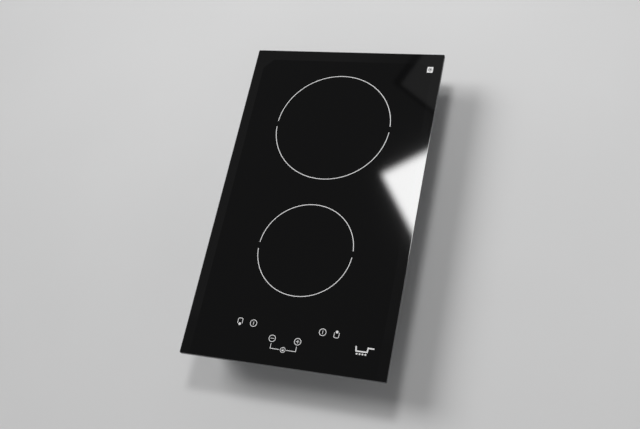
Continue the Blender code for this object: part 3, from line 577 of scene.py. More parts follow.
def extruded_finish():
    """Extruded aluminium: fine die lines along the length, satin from the pickling bath."""
    finish = Finish("extruded_aluminium", {"Metallic": 1.0})
    lines = finish.noise(400.0, 5.0, finish.stretched((1, 0.01, 1)))
    finish.follow(lines, (0.62, 0.63, 0.65), (0.78, 0.79, 0.80), 0.28, 0.2, 0.04 * MM)
    return finish


aluminium_extrusion = extruded_finish()
softened("heat_sink", aluminium_extrusion, 0.15 * MM)

epoxy = moulded_finish("black_epoxy", (0.022, 0.022, 0.024), 0.45, grain=1500.0)
tinned = Finish("tinned_leads", {"Metallic": 1.0})
tinned.vary("Base Color", tinned.noise(500.0).colours((0.62, 0.62, 0.6), (0.75, 0.75, 0.73)))
tinned.vary("Roughness", 0.25 + 0.2 * tinned.noise(900.0))
leg_sheet = 0.5 * MM
leg_half = 0.6 * MM
# Turns a plate drawn as (along Y, up) so that it stands across the X axis.
along_x = Matrix(((0, 0, 1, 0), (1, 0, 0, 0), (0, 1, 0, 0), (0, 0, 0, 1)))
for device, pins in (("front_transistor", 3), ("rear_transistor", 3), ("bridge_rectifier", 4)):
    softened(device, epoxy, 0.3 * MM)
    low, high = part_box(device)
    pitch = (high.x - low.x) / (pins + 0.4)
    knee = low.y - 2.5 * MM
    leg_z = low.z + 2.6 * MM
    leg_path = [(low.y + leg_sheet, leg_z), (knee, leg_z), (knee, low.z)]
    face, back = folded_sheet(leg_path, leg_sheet, leg_sheet, 3)
    legs = bmesh.new()
    for i in range(pins):
        x = (low.x + high.x) / 2 + (i - (pins - 1) / 2) * pitch
        leg = slab(face + back[::-1], x - leg_half, x + leg_half)
        leg.transform(along_x)
        added(leg, legs)
    made_piece(f"{device}_legs", legs, tinned)


def softened_block(low, high, edge):
    """A moulded block with rounded edges."""
    corners = [(low.x, low.y), (high.x, low.y), (high.x, high.y), (low.x, high.y)]
    bm = slab(corners, low.z, high.z)
    bmesh.ops.dissolve_limit(bm, angle_limit=0.01, verts=bm.verts[:], edges=bm.edges[:])
    bmesh.ops.bevel(bm, geom=bm.edges[:], offset=edge, segments=3, profile=0.5, affect="EDGES")
    return bm


capacitor_case = moulded_finish("capacitor_case", (0.66, 0.62, 0.50), 0.32, grain=500.0)
resin_rim = 2.2 * MM
for name, edge, finish, slot in (
    ("rear_capacitor", 1.5 * MM, capacitor_case, "capacitor_case"),
    ("front_capacitor", 1.5 * MM, capacitor_case, "capacitor_case"),
    ("mains_relay", 0.8 * MM, epoxy, "black_epoxy"),
):
    low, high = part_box(name)
    moulding = made_piece(f"{name}_case", softened_block(low, high, edge), finish, [name])
    # The resin fill shows as a sunken panel in the top.
    panel = round_outline(
        low.x + resin_rim, high.x - resin_rim, low.y + resin_rim, high.y - resin_rim, MM, 4
    )
    carve(moulding, slab(panel, high.z - 0.5 * MM, high.z + MM))


def tube_round(points, radius, sides, oval=1.0):
    """A round or oval wire along a list of points, with a flat cut at each end."""
    bm = bmesh.new()
    rings = []
    side = None
    for i, point in enumerate(points):
        way = (points[min(i + 1, len(points) - 1)] - points[max(i - 1, 0)]).normalized()
        # The side is carried along the wire, so that no stretch of it is twisted.
        side = way.cross(Vector((0, 0, 1))) if side is None else side
        side = (side - side.dot(way) * way).normalized()
        rise = side.cross(way)
        ring = []
        for k in range(sides):
            angle = 2 * math.pi * k / sides
            arm = math.cos(angle) * side + oval * math.sin(angle) * rise
            ring.append(bm.verts.new(point + radius * arm))
        rings.append(ring)
    for low, high in zip(rings, rings[1:]):
        for k in range(sides):
            bm.faces.new((low[k], low[k - 1], high[k - 1], high[k]))
    bm.faces.new(rings[0])
    bm.faces.new(rings[-1])
    bmesh.ops.recalc_face_normals(bm, faces=bm.faces[:])
    return bm


def enamelled_finish(name, light, dark, across=900.0):
    """Enamelled copper: warm metal under clear lacquer, with strands that catch the light."""
    finish = Finish(name, {"Metallic": 1.0, "Coat Roughness": 0.12, "Coat IOR": 1.5})
    strands = finish.noise(across, 2.0)
    finish.vary("Base Color", strands.ramp(0.35, 0.65).colours(dark, light))
    finish.vary("Roughness", 0.26 + 0.2 * strands)
    finish.vary("Coat Weight", 0.4 + 0.4 * finish.noise(60.0))
    finish.bump(strands, 0.12 * MM)
    return finish


# The filter choke is a grey core with forty turns of copper wound over it.
choke_low, choke_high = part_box("filter_choke")
choke_centre = (choke_low + choke_high) / 2
choke_core = (choke_high.z - choke_low.z) / 2
choke_radius = (choke_high.x - choke_low.x) / 2 - choke_core
wire_radius = 0.6 * MM
bare_core = choke_core - 2 * wire_radius
core_section = []
for k in range(16):
    over = math.pi * k / 8
    core_section.append((choke_radius + bare_core * math.cos(over), bare_core * math.sin(over)))
core = turned(core_section, 48, closed=True)
core.transform(Matrix.Translation(choke_centre))
ferrite_finish = moulded_finish("sintered_ferrite", (0.075, 0.075, 0.08), 0.6, grain=1800.0, depth=0.05)
made_piece("filter_choke_core", core, ferrite_finish, ["filter_choke"])
choke_copper = enamelled_finish("choke_wire", (0.62, 0.24, 0.09), (0.42, 0.14, 0.05))
turns = 40
per_turn = 12
covered = 0.94
reach = choke_core - wire_radius
wound = []
for k in range(turns * per_turn):
    around = 2 * math.pi * covered * k / (turns * per_turn)
    over = 2 * math.pi * k / per_turn
    out = choke_radius + reach * math.cos(over)
    offset = Vector((out * math.cos(around), out * math.sin(around), reach * math.sin(over)))
    wound.append(choke_centre + offset)
made_piece("filter_choke_winding", tube_round(wound, wire_radius, 6), choke_copper)


# ---------------------------------------------------------------- Fan
# A radial fan moulded in black: a flat scroll housing with its inlet over the slots of the
# cover, a grey rotor with twenty blades, and the motor inside the rotor's cup.

black_plastic = moulded_finish("black_moulding", (0.028, 0.028, 0.030), 0.48)
softened("fan_housing", black_plastic)
rotor_plastic = moulded_finish("grey_moulding", (0.20, 0.20, 0.21), 0.45)
softened("fan_rotor", rotor_plastic, 0, 0)
motor_steel = Finish("motor_steel", {"Metallic": 1.0})
cast = motor_steel.noise(200.0)
motor_steel.vary("Base Color", cast.colours((0.4, 0.4, 0.41), (0.55, 0.55, 0.56)))
motor_steel.vary("Roughness", 0.3 + 0.15 * motor_steel.noise(700.0))
softened("fan_motor", motor_steel)


# ---------------------------------------------------------------- Case frame
# One strip of galvanised sheet, folded to a channel and welded to a ring: a flange under the
# glass, the wall, and a wide ledge that carries the coil plate, the hooks and the terminal box.

case_low, case_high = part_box("case_frame")
case_sheet = 0.8 * MM
case_flange = 8 * MM
case_corner = 10 * MM
case_bend = 0.8 * MM
case_path = [
    (case_flange, case_high.z), (0, case_high.z), (0, case_low.z), (case_corner, case_low.z),
]
outside, inside = folded_sheet(case_path, case_sheet, case_bend)
section = loops(case_low, case_high, outside, case_corner, 1.5 * MM)
# The window in the ledge is as wide as the cover inside its flange.
window = [(cover_flange, case_low.z), (cover_flange, case_low.z + case_sheet)]
section += loops(cover_low, cover_high, window, 6 * MM + cover_flange, MM)
section += loops(case_low, case_high, inside[::-1], case_corner, 1.5 * MM)
case = made_piece(
    "folded_case_frame", skin(section, ring=True), galvanised, ["case_frame"]
)


def circle(radius, steps, x=0.0, y=0.0):
    turn = 2 * math.pi / steps
    return [
        (x + radius * math.cos(i * turn), y + radius * math.sin(i * turn))
        for i in range(steps)
    ]


hook_names = ("front_left", "front_right", "rear_left", "rear_right")
screw_hole = 2.8 * MM
ledge_cut = (case_low.z - MM, case_low.z + 2 * MM)
ledge_holes = bmesh.new()
for name in hook_names:
    low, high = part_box(f"hook_screw_{name}")
    hole = circle(screw_hole, 20, (low.x + high.x) / 2, (low.y + high.y) / 2)
    slab(hole, *ledge_cut, into=ledge_holes)
low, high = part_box("mains_leads")
mains_hole = circle(4 * MM, 20, (low.x + high.x) / 2, high.y - (high.x - low.x) / 2)
slab(mains_hole, *ledge_cut, into=ledge_holes)
carve(case, ledge_holes)


# ---------------------------------------------------------------- Coil plate
# A pan pressed from 1.5 mm aluminium sheet screens the electronics from the coils. It has an
# eye under each coil and holes for the wiring, and its skirt stands on the ledge of the case.


def rolled_finish():
    """Rolled aluminium: faint lines one way, with the handling marks of the press shop."""
    finish = Finish("sheet_aluminium", {"Metallic": 1.0})
    lines = finish.noise(220.0, 6.0, finish.stretched((1, 0.02, 1)))
    marks = finish.noise(18.0, 7.0).ramp(0.5, 0.72)
    finish.vary("Base Color", lines.colours((0.66, 0.67, 0.69), (0.80, 0.81, 0.82)))
    finish.vary("Roughness", 0.24 + 0.12 * lines + 0.16 * marks)
    finish.bump(lines, 0.02 * MM)
    return finish


sheet_aluminium = rolled_finish()
plate_low, plate_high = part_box("coil_plate")
plate_sheet = 1.5 * MM
plate_path = [(14 * MM, plate_high.z), (0, plate_high.z), (0, plate_low.z)]
outside, inside = folded_sheet(plate_path, plate_sheet, 2 * MM)
coil_plate = made_piece(
    "pressed_coil_plate", skin(loops(plate_low, plate_high, outside + inside[::-1], 5 * MM, MM)),
    sheet_aluminium, ["coil_plate"],
)
zones = ("rear", "front")
plate_cut = (plate_high.z - plate_sheet - MM, plate_high.z + MM)
plate_eye = 20 * MM
lead_hole = 6 * MM
lead_radius = 2.4 * MM
slot_across = 13 * MM
slot_along = 4.5 * MM
plate_holes = bmesh.new()
for zone in zones:
    low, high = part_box(f"{zone}_winding")
    eye = circle(plate_eye, 48, (low.x + high.x) / 2, (low.y + high.y) / 2)
    slab(eye, *plate_cut, into=plate_holes)
    low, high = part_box(f"{zone}_coil_leads")
    lead_y = low.y + lead_radius if zone == "rear" else high.y - lead_radius
    slab(circle(lead_hole, 28, high.x - lead_radius, lead_y), *plate_cut, into=plate_holes)
ribbon_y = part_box("ribbon_cable")[1].y
slot = round_outline(
    -slot_across, slot_across, ribbon_y - slot_along, ribbon_y + slot_along, 2 * MM, 4
)
slab(slot, *plate_cut, into=plate_holes)
carve(coil_plate, plate_holes)


# ---------------------------------------------------------------- Coils
# Each coil is a flat spiral of stranded, enamelled copper on a black spoked former, between
# ferrite bars and a disc of mica, with a sensor in its eye. Three springs press it up.

coil_copper = enamelled_finish("stranded_copper", (0.70, 0.30, 0.13), (0.40, 0.14, 0.05), 1400.0)
mica_finish = Finish("mica_sheet", {"IOR": 1.56})
flakes = mica_finish.noise(160.0, 7.0, mica_finish.stretched((1, 0.4, 1)))
mica_finish.follow(flakes, (0.30, 0.27, 0.21), (0.52, 0.49, 0.42), 0.25, 0.35, 0.03 * MM)
former_plastic = moulded_finish("glass_filled_plastic", (0.035, 0.035, 0.037), 0.58, 1300.0, 0.05)
ceramic = moulded_finish("sensor_ceramic", (0.78, 0.77, 0.73), 0.38, 2000.0, 0.01)
spring_steel = Finish("spring_steel", {"Metallic": 1.0})
spring_steel.follow(spring_steel.noise(1600.0), (0.40, 0.40, 0.41), (0.62, 0.62, 0.63), 0.2, 0.2)
coil_eye = 24 * MM
litz_width = 2.9 * MM
litz_gap = 0.04 * MM
spring_wire = 0.5 * MM
spring_turns = 4.5

for zone in zones:
    softened(f"{zone}_mica", mica_finish, 0.1 * MM)
    softened(f"{zone}_former", former_plastic, 0.25 * MM)
    softened(f"{zone}_sensor", ceramic, 0.3 * MM)
    for i in range(4):
        softened(f"{zone}_ferrite_{i + 1}", ferrite_finish, 0.5 * MM)

    low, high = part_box(f"{zone}_winding")
    centre = (low + high) / 2
    outer = (high.x - low.x) / 2 - litz_width / 2
    inner = coil_eye + litz_width / 2
    rounds = round((outer - inner) / litz_width)
    path = []
    for k in range(rounds * 60 + 1):
        angle = 2 * math.pi * k / 60
        radius = inner + (outer - inner) * k / (rounds * 60)
        path.append(centre + radius * Vector((math.cos(angle), math.sin(angle), 0)))
    spiral = tube_round(path, litz_width / 2 - litz_gap, 10, (high.z - low.z) / litz_width)
    made_piece(
        f"{zone}_spiral_winding", spiral, coil_copper, [f"{zone}_winding"],
        f"{zone}_coil",
    )

    for i in range(3):
        low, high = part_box(f"{zone}_spring_{i + 1}")
        centre = (low + high) / 2
        around = (high.x - low.x) / 2 - spring_wire
        path = []
        for k in range(int(spring_turns * 24) + 1):
            angle = 2 * math.pi * k / 24
            # The first and the last three quarters of a turn lie flat.
            share = min(max((k / 24 - 0.75) / (spring_turns - 1.5), 0), 1)
            rise = spring_wire + share * (high.z - low.z - 2 * spring_wire)
            base = Vector((centre.x, centre.y, low.z))
            path.append(base + Vector((around * math.cos(angle), around * math.sin(angle), rise)))
        spring = made_piece(
            f"{zone}_coil_spring_{i + 1}", tube_round(path, spring_wire, 8), spring_steel,
            [f"{zone}_spring_{i + 1}"],
        )
        spring.modifiers.clear()
        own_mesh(spring)


# ---------------------------------------------------------------- Touch controls
# The touch board is black laminate in a moulded carrier that hangs under the front of the
# glass. A light spring on the board presses against the glass behind each printed key.

softened("touch_carrier", black_plastic, 0.25 * MM)
black_laminate = laminate_finish("black_solder_resist", (0.010, 0.011, 0.012), (0.03, 0.032, 0.034))
softened("touch_board", black_laminate, 0.1 * MM)
glass_low, glass_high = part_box("glass_top")
middle_x = (glass_low.x + glass_high.x) / 2
front_edge = glass_low.y
touch_low, touch_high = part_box("touch_board")
on_off_x = 50.65 * MM
on_off_y = front_edge + 56.3 * MM
step_key_x = 18.55 * MM
step_key_y = front_edge + 38.55 * MM
lock_y = front_edge + 24.4 * MM
keys = (
    ("left_on_off", middle_x - on_off_x, on_off_y), ("right_on_off", middle_x + on_off_x, on_off_y),
    ("minus", middle_x - step_key_x, step_key_y), ("plus", middle_x + step_key_x, step_key_y),
)
key_spring = 3.2 * MM
key_wire = 0.25 * MM
spring_foot = touch_high.z + 0.6 * MM
spring_rise = glass_low.z - touch_high.z - 1.4 * MM
for key, x, y in keys:
    path = []
    for k in range(5 * 20 + 1):
        angle = 2 * math.pi * k / 20
        spot = (x + key_spring * math.cos(angle), y + key_spring * math.sin(angle))
        path.append(Vector((*spot, spring_foot + spring_rise * k / 100)))
    wire = tube_round(path, key_wire, 6)
    made_piece(f"{key}_touch_spring", wire, spring_steel)


# ---------------------------------------------------------------- Wiring
# The coil leads and the mains leads run in woven glass-fibre sleeves. A flat grey ribbon joins
# the touch board to the power board.

sleeve = Finish("glass_fibre_sleeve", {"Sheen Weight": 0.2})
inputs = {"Vector": sleeve.place, "Scale": 500.0, "Distortion": 2.0}
weave = sleeve.shade.node("ShaderNodeTexWave", {"bands_direction": "DIAGONAL"}, inputs, take="Fac")
sleeve.follow(weave, (0.52, 0.50, 0.44), (0.74, 0.72, 0.65), 0.62, 0.2, 0.1 * MM)
for lead in ("rear_coil_leads", "front_coil_leads", "mains_leads"):
    softened(lead, sleeve, 0, 50)
ribbon_finish = Finish("ribbon_cable", {"IOR": 1.5})
inputs = {"Vector": ribbon_finish.place, "Scale": 250.0}
cores = ribbon_finish.shade.node("ShaderNodeTexWave", {"bands_direction": "X"}, inputs, take="Fac")
ribbon_finish.follow(cores, (0.30, 0.30, 0.31), (0.46, 0.46, 0.47), 0.45, 0.15, 0.2 * MM)
softened("ribbon_cable", ribbon_finish, 0.1 * MM)


# ---------------------------------------------------------------- Bond and seal
# A bead of black silicone bonds the glass to the flange of the case. Round it, a strip of grey
# foam with its own adhesive seals the glass to the worktop.

silicone = moulded_finish("black_silicone", (0.016, 0.016, 0.017), 0.55, 300.0, 0.1)
softened("glass_bond", silicone, 0.12 * MM)
foam = Finish("closed_cell_foam", {"Specular IOR Level": 0.25})
inputs = {"Vector": foam.place, "Scale": 1100.0}
cells = foam.shade.node("ShaderNodeTexVoronoi", {"feature": "F1"}, inputs, take="Distance")
foam.follow(cells, (0.055, 0.056, 0.058), (0.12, 0.12, 0.125), 0.8, 0.15, 0.25 * MM)
softened("worktop_seal", foam, 0.4 * MM)


# ---------------------------------------------------------------- Glass
# One pane of 4 mm black glass ceramic with ground and polished edges. Outside the line of the
# case, where no black backing lies under it, the colour is painted a little greyer. This is painted
# light coming up through the glass, strongest on the left and weaker towards the front.

glass_corner = 2.5 * MM
glass_face = glass_high.z - 0.05 * MM
glass_bevel = 0.6 * MM


def black_glass_with_painted_rim_light():
    """Hard, polished and very dark, with a satin ground edge. The rim band is painted light, greyest on
    the left.
    """
    finish = Finish("black_glass", {"IOR": 1.5})
    across, along, _ = finish.parts(finish.place)
    beside = abs(across) - case_high.x
    behind = along - case_high.y
    corner = (beside + behind + 15 * MM) * 0.7
    rim = beside.larger(behind).larger(corner).ramp(-0.3 * MM, 0.3 * MM)
    left = 1 - across.ramp(-0.02, 0.10)
    rear = 0.4 + 0.6 * along.ramp(-0.21, -0.18)
    # Painted light: the rim band outside the case is lighter, most on the left and least at the front.
    shade = rim * rear * (0.4 + 0.6 * left)
    ground = glass_bevel + 0.02 * MM
    polished = glass_bevel - 0.04 * MM
    side = abs(across).ramp(glass_high.x - ground, glass_high.x - polished)
    end = abs(along).ramp(glass_high.y - ground, glass_high.y - polished)
    edge = side.larger(end)
    # The painted rim light is mixed into the glass's own near-black colour here.
    tone = shade.colours((0.0017, 0.0017, 0.0019), (0.0054, 0.0054, 0.0056))
    finish.vary("Base Color", edge.colours(tone, (0.13, 0.132, 0.135)))
    finish.vary("Roughness", 0.035 + 0.015 * finish.noise(9.0, 2.0) + 0.36 * edge)
    finish.bump(finish.noise(700.0, 1.0), 0.002 * MM)
    return finish


# The edge is ground: a small bevel below, a flat side, and a wider rounded bevel above.
chamfer = 0.4 * MM
edge_line = [
    (chamfer, glass_low.z), (0.3 * chamfer, glass_low.z + 0.3 * chamfer), (0, glass_low.z + chamfer),
]
for k in range(7):
    angle = math.radians(90 * k / 6)
    inset = glass_bevel * (1 - math.cos(angle))
    edge_line.append((inset, glass_face - glass_bevel * (1 - math.sin(angle))))
edge_line.append((glass_bevel + 0.5 * MM, glass_face))
made_piece(
    "ceramic_glass_pane", skin(loops(glass_low, glass_high, edge_line, glass_corner, MM, 10)),
    black_glass_with_painted_rim_light(), ["glass_top"], smooth=50,
)


# ---------------------------------------------------------------- Print on the glass
# The zones, the keys and their signs are fired into the glass in grey-white enamel: a film
# that stands four hundredths of a millimetre proud.

film = (glass_face, glass_face + 0.04 * MM)
zone_print = Finish("fired_enamel", {"IOR": 1.5})
speck = zone_print.noise(2500.0, 3.0)
zone_print.vary("Base Color", speck.ramp(0.3, 0.7).colours((0.74, 0.74, 0.74), (0.82, 0.82, 0.82)))
zone_print.vary("Roughness", 0.38 + 0.15 * speck)
zone_print.bump(speck, 0.008 * MM)


def stroke(points, width, into):
    """A printed line of even width along its points."""
    spots = [Vector(p) for p in points]
    sides = ([], [])
    for i, spot in enumerate(spots):
        before = spots[max(i - 1, 0)]
        after = spots[min(i + 1, len(spots) - 1)]
        ways = [w.normalized() for w in (spot - before, after - spot) if w.length > 0]
        normal = sum((Vector((-w.y, w.x)) for w in ways), Vector((0, 0))) / len(ways)
        for sign, line in zip((1, -1), sides):
            line.append(spot + sign * normal * width / 2 / normal.length_squared)
    slab(sides[0] + sides[1][::-1], *film, into=into)


def arc(x, y, radius, start, end, steps):
    """Points on an arc, from one angle to another in degrees."""
    points = []
    for i in range(steps + 1):
        angle = math.radians(start + (end - start) * i / steps)
        points.append((x + radius * math.cos(angle), y + radius * math.sin(angle)))
    return points


def ring(x, y, radius, width, into, steps=40):
    outer = circle(radius + width / 2, steps, x, y)
    inner = circle(radius - width / 2, steps, x, y)
    slab(outer, *film, [inner], into=into)


def dot(x, y, radius, into):
    slab(circle(radius, 24, x, y), *film, into=into)


def printed(name, bm):
    made_piece(name, bm, zone_print, smooth=0)


zone_line = 1.0 * MM
zone_gap = 9.6 * MM
past_winding = {"rear": 5.95 * MM, "front": 5.35 * MM}
for zone in zones:
    low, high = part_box(f"{zone}_winding")
    x = (low.x + high.x) / 2
    y = (low.y + high.y) / 2
    radius = (high.x - low.x) / 2 + past_winding[zone]
    half_gap = math.degrees(zone_gap / 2 / radius)
    circle_line = bmesh.new()
    for start in (0, 180):
        stroke(arc(x, y, radius, start + half_gap, start + 180 - half_gap, 90), zone_line, circle_line)
    printed(f"{zone}_zone_circle", circle_line)

thin = 0.85 * MM
on_off_ring = 4.8 * MM
on_off_bar = 2.3 * MM
step_ring = 4.67 * MM
step_bar = 2.5 * MM
step_line = 0.85 * thin
for key, x, y in keys[:2]:
    sign = bmesh.new()
    ring(x, y, on_off_ring, thin, sign)
    stroke([(x, y - on_off_bar), (x, y + on_off_bar)], 0.95 * thin, sign)
    printed(f"{key}_sign", sign)
for key, x, y in keys[2:]:
    sign = bmesh.new()
    ring(x, y, step_ring, thin, sign)
    stroke([(x - step_bar, y), (x + step_bar, y)], step_line, sign)
    if key == "plus":
        # The upright is two halves, which meet the bar from above and from below.
        for end in (-1, 1):
            stroke([(x, y + end * 0.42 * thin), (x, y + end * step_bar)], step_line, sign)
    printed(f"{key}_sign", sign)


def zone_sign(name, x, y, up):
    """A pan seen from the side: three strokes with round corners, open towards its dot."""
    sign = bmesh.new()
    half = 3.4 * MM
    bend = 1.8 * MM
    base = y + up * 8.3 * MM
    mouth = y + up * MM
    left = arc(x - half + bend, base - up * bend, bend, 180, 180 - up * 90, 5)
    right = arc(x + half - bend, base - up * bend, bend, up * 90, 0, 5)
    stroke([(x - half, mouth)] + left + right + [(x + half, mouth)], thin, sign)
    dot(x, y, 1.95 * MM, sign)
    printed(name, sign)


zone_sign("front_zone_sign", middle_x - 70.8 * MM, front_edge + 53.0 * MM, 1)
zone_sign("rear_zone_sign", middle_x + 70.55 * MM, front_edge + 59.2 * MM, -1)

# A bracket joins the minus and the plus key to the lock below them.
bracket = bmesh.new()
bracket_half = 18.5 * MM
bracket_top = front_edge + 31.5 * MM
lock_gap = 5.1 * MM
for side in (-1, 1):
    x = middle_x + side * bracket_half
    inner_end = middle_x + side * lock_gap
    stroke([(x, bracket_top), (x, lock_y), (inner_end, lock_y)], thin, bracket)
printed("key_bracket", bracket)

lock = bmesh.new()
lock_half = 1.5 * MM
lock_top = lock_y - 0.1 * MM
shackle_half = 0.95 * MM
ring(middle_x, lock_y, 3.6 * MM, 0.7 * MM, lock)
lock_body = round_outline(
    middle_x - lock_half, middle_x + lock_half, lock_y - 1.7 * MM, lock_top, 0.3 * MM, 3
)
slab(lock_body, *film, into=lock)
shackle = arc(middle_x, lock_y + 0.8 * MM, shackle_half, 180, 0, 8)
feet = [(middle_x - shackle_half, lock_top), (middle_x + shackle_half, lock_top)]
stroke(feet[:1] + shackle + feet[1:], 0.45 * MM, lock)
printed("lock_sign", lock)

# A plain sign of a pan over a coil stands in the front right corner.
pan = bmesh.new()
pan_x = middle_x + 111.9 * MM
pan_y = front_edge + 38.1 * MM
pan_line = 1.9 * MM
rim = pan_y + 5.6 * MM
base = pan_y - 1.2 * MM
handle = pan_y + 4.4 * MM
bowl = [(-11.5, rim), (-10.6, base), (4.6, base), (5.5, rim)]
stroke([(pan_x + x * MM, y) for x, y in bowl], pan_line, pan)
stroke([(pan_x + 6.4 * MM, handle), (pan_x + 13.6 * MM, handle)], pan_line, pan)
for i in range(4):
    dot(pan_x - 9.0 * MM + i * 4.0 * MM, pan_y - 4.8 * MM, 1.3 * MM, pan)
printed("pan_sign", pan)

# A plain square stands in the rear right corner, with a ring left open in it.
square = bmesh.new()
square_x = middle_x + 131.7 * MM
square_y = glass_high.y - 27.4 * MM
square_wide = 4.35 * MM
square_deep = 4.95 * MM
plain = round_outline(
    square_x - square_wide, square_x + square_wide, square_y - square_deep, square_y + square_deep,
    0.6 * MM, 3,
)
slab(plain, *film, [circle(2.9 * MM, 28, square_x, square_y)], square)
ring(square_x, square_y, 1.75 * MM, 0.9 * MM, square, 28)
printed("coil_sign", square)


# ---------------------------------------------------------------- Fixing hooks
# Four hooks of 2 mm zinc-plated steel, each cranked down in two bends, hang on screws under
# the ledge. They swing out under the worktop and clamp it against the glass.

hook_sheet = 2 * MM
hook_width = 12 * MM
hook_bend = 17 * MM
hook_toe = 3 * MM
hook_head = 3 * MM
for name in hook_names:
    low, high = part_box(f"hook_{name}")
    screw_low, screw_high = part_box(f"hook_screw_{name}")
    pivot = (screw_low + screw_high) / 2
    reach = max(high.y - pivot.y, pivot.y - low.y)
    half = hook_width / 2
    seat = high.z - hook_sheet
    crank = [(-half, seat), (hook_bend, seat), (hook_bend, low.z), (reach, low.z)]
    under, upper = folded_sheet(crank, hook_sheet, 1.2 * MM, 5)
    strip = slab(under + upper[::-1], -half, half)
    turn = 0 if name.startswith("front") else math.pi
    placed = Matrix.Translation((pivot.x, pivot.y, 0)) @ Matrix.Rotation(turn, 4, "Z")
    strip.transform(placed @ along_x)
    hook = made_piece(
        f"cranked_hook_{name}", strip, plated, [f"hook_{name}"], f"hook_{name}_arm"
    )
    blank = arc(0, 0, half, 180, 360, 16) + arc(half - hook_toe, reach - hook_toe, hook_toe, 0, 90, 6)
    blank += arc(hook_toe - half, reach - hook_toe, hook_toe, 90, 180, 6)
    plan = slab(blank, low.z - MM, high.z + MM, [circle(screw_hole, 20)])
    plan.transform(placed)
    carve(hook, plan, "INTERSECT")
    shank = screw_high.z - screw_low.z - hook_head
    screw = pan_screw(
        f"hook_pivot_screw_{name}", (pivot.x, pivot.y, screw_low.z), (screw_high.x - screw_low.x) / 2,
        hook_head, shank, plated,
    )
    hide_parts(f"hook_screw_{name}")


# ---------------------------------------------------------------- Terminal box
# The mains cable enters a grey polyamide box under the rear right corner of the case. The box
# holds a block with six poles and a cable clamp, and its lid hinges down at the front.

grey_plastic = moulded_finish("grey_polyamide", (0.16, 0.165, 0.17), 0.5, 1100.0, 0.04)
softened("terminal_box", grey_plastic, 0.3 * MM)
lid = softened("terminal_cover", grey_plastic, 0.3 * MM)
lid_low, lid_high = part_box("terminal_cover")
lid_middle = (lid_low.x + lid_high.x) / 2
lid_rear = lid_high.y
# The lid is moulded with a sunken panel, six grip ribs and two notches for a screwdriver.
lid_margin = 6 * MM
rib_pitch = 3.2 * MM
rib_half = 0.6 * MM
notch_apart = 30 * MM
notch_half = 4 * MM
panel = round_outline(
    lid_low.x + lid_margin, lid_high.x - lid_margin, lid_rear - 46 * MM, lid_rear - 16 * MM, 2 * MM
)
sunken = slab(panel, lid_low.z - MM, lid_low.z + 0.4 * MM)
for i in range(6):
    x = lid_middle + (i - 2.5) * rib_pitch
    rib = round_outline(
        x - rib_half, x + rib_half, lid_rear - 12 * MM, lid_rear - 6 * MM, 0.55 * MM, 3
    )
    slab(rib, lid_low.z - MM, lid_low.z + 0.45 * MM, into=sunken)
for side in (-1, 1):
    x = lid_middle + side * notch_apart
    notch = round_outline(
        x - notch_half, x + notch_half, lid_rear - 2.2 * MM, lid_rear + MM, 0.4 * MM, 3
    )
    slab(notch, lid_low.z - MM, lid_high.z + MM, into=sunken)
carve(lid, sunken)
# A rubber grommet lines the cable hole in the rear wall. Its lips grip the wall from both sides.
box_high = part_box("terminal_box")[1]
cable_hole = 5.5 * MM
cable_z = box_high.z - 2.1 * MM - cable_hole
lips = [
    (-1.2, -1.9), (1.3, -1.9), (1.3, -1.65), (-0.1, -1.65), (-0.1, 0.05), (1.5, 0.05), (1.3, 0.9),
    (-0.7, 0.9), (-1.2, 0.4),
]
collar = turned([(cable_hole + out * MM, along * MM) for out, along in lips], 32, closed=True)
through_wall = Matrix.Rotation(-math.pi / 2, 4, "X")
collar.transform(Matrix.Translation((lid_middle, box_high.y, cable_z)) @ through_wall)
made_piece("cable_grommet", collar, silicone)
softened("terminal_block", white_plastic, 0.4 * MM)
softened("cable_clamp", grey_plastic, 0.3 * MM)
brass = Finish("nickel_brass", {"Metallic": 1.0})
brass.follow(brass.noise(700.0, 4.0), (0.58, 0.46, 0.24), (0.72, 0.62, 0.38), 0.24, 0.2)
low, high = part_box("terminal_block")
poles = 6
for i in range(poles):
    spot = (low.x + (i + 0.5) * (high.x - low.x) / poles, (low.y + high.y) / 2, low.z + 1.2 * MM)
    pan_screw(f"terminal_screw_{i + 1}", spot, 2 * MM, 1.2 * MM, 5 * MM, brass)
low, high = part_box("cable_clamp")
for side, x in (("left", low.x + 1.5 * MM), ("right", high.x - 1.5 * MM)):
    spot = (x, (low.y + high.y) / 2, low.z - 1.2 * MM)
    pan_screw(f"clamp_screw_{side}", spot, 2.2 * MM, 1.3 * MM, 4 * MM, plated)


# ---------------------------------------------------------------- Studio
# A plain pale floor, a wide soft key light from the left, and a soft box overhead whose corner
# shows in the glass, beside a faint panel with a dark edge.

floor_finish = Finish("pale_floor", {"Specular IOR Level": 0.2})
floor_finish.follow(floor_finish.noise(3.0, 5.0), (0.66, 0.66, 0.66), (0.72, 0.72, 0.72), 0.75, 0.1)
floor = in_scene("floor", mesh_from("floor", slab(circle(30, 64), -0.02, 0)))
floor.data.materials.append(floor_finish.material)

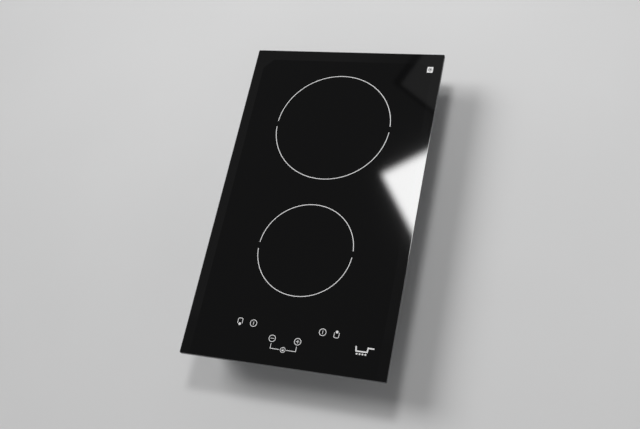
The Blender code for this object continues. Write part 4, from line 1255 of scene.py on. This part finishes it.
ceiling = 1.558
soft_box = bpy.data.lights.new("soft_box", "AREA")
soft_box.shape = "SQUARE"
soft_box.size = 0.42
soft_box.energy = 22.0 * math.pi * soft_box.size ** 2
soft_box.use_nodes = True
shade = Shade(soft_box.node_tree)
face = shade.node("ShaderNodeNewGeometry", take="Parametric")
fade = 1.0
for side, feather in enumerate((0.075, 0.10)):
    place = shade.node("ShaderNodeSeparateXYZ", None, {"Vector": face}, take=side)
    fade = fade * (0.5 - abs(place - 0.5)).ramp(0.0, feather)
shade.feed(soft_box.node_tree.nodes["Emission"].inputs["Strength"], fade)
box_holder = in_scene("soft_box", soft_box)
box_holder.location = (-0.0617, 0.7309, ceiling)
box_holder.rotation_euler = (0, 0, math.radians(34.61))

# The panel and its dark edge are flat cards that hang beside the soft box.
dark_card = [(-0.356, 1.134), (-0.15, 0.978), (0.2, 1.3), (-0.2, 1.6), (-0.28, 1.30)]
rear_panel = [(-0.324, 1.128), (-0.15, 1.0), (0.2, 1.3), (-0.2, 1.55), (-0.257, 1.273)]
for name, corners, z, glow in (
    ("dark_card", dark_card, ceiling, 0.06), ("rear_panel", rear_panel, ceiling - 0.002, 0.31),
):
    mesh = bpy.data.meshes.new(name)
    mesh.from_pydata([(x, y, z) for x, y in corners], [], [range(len(corners))])
    black = {"Base Color": (0, 0, 0, 1), "Specular IOR Level": 0.0, "Emission Strength": 1.0}
    card_finish = Finish(name, black)
    cloud = card_finish.noise(4.0)
    card_finish.vary("Emission Color", cloud.colours([0.9 * glow] * 3, [1.1 * glow] * 3))
    mesh.materials.append(card_finish.material)
    in_scene(name, mesh)

key = bpy.data.lights.new("key_light", "SUN")
key.energy = 1.9
key.angle = math.radians(28)
key_holder = in_scene("key_light", key)
key_holder.location = (-1.8, 0.7, 1.5)
key_holder.rotation_euler = key_holder.location.to_track_quat("Z", "Y").to_euler()

world = bpy.data.worlds.new("studio")
world.use_nodes = True
sky = Shade(world.node_tree)
way = sky.node("ShaderNodeTexCoord", take="Generated")
height = sky.node("ShaderNodeSeparateXYZ", None, {"Vector": way}, take=2)
low_down = 1 - height.ramp(0.0, 0.7)
backdrop = world.node_tree.nodes["Background"]
sky.feed(backdrop.inputs["Color"], low_down.colours((0.13, 0.13, 0.13), (0.75, 0.75, 0.76)))
bpy.context.scene.world = world
bpy.context.scene.view_settings.view_transform = "Standard"

lens = bpy.data.cameras.new("camera")
lens.lens = 50.33
lens.shift_x = 0.02726
lens.shift_y = 0.01793
camera = in_scene("camera", lens)
camera.location = (0.40486, -0.50147, 1.18596)
camera.rotation_euler = [math.radians(a) for a in (24.6095, 15.3216, 12.3399)]
bpy.context.scene.camera = camera
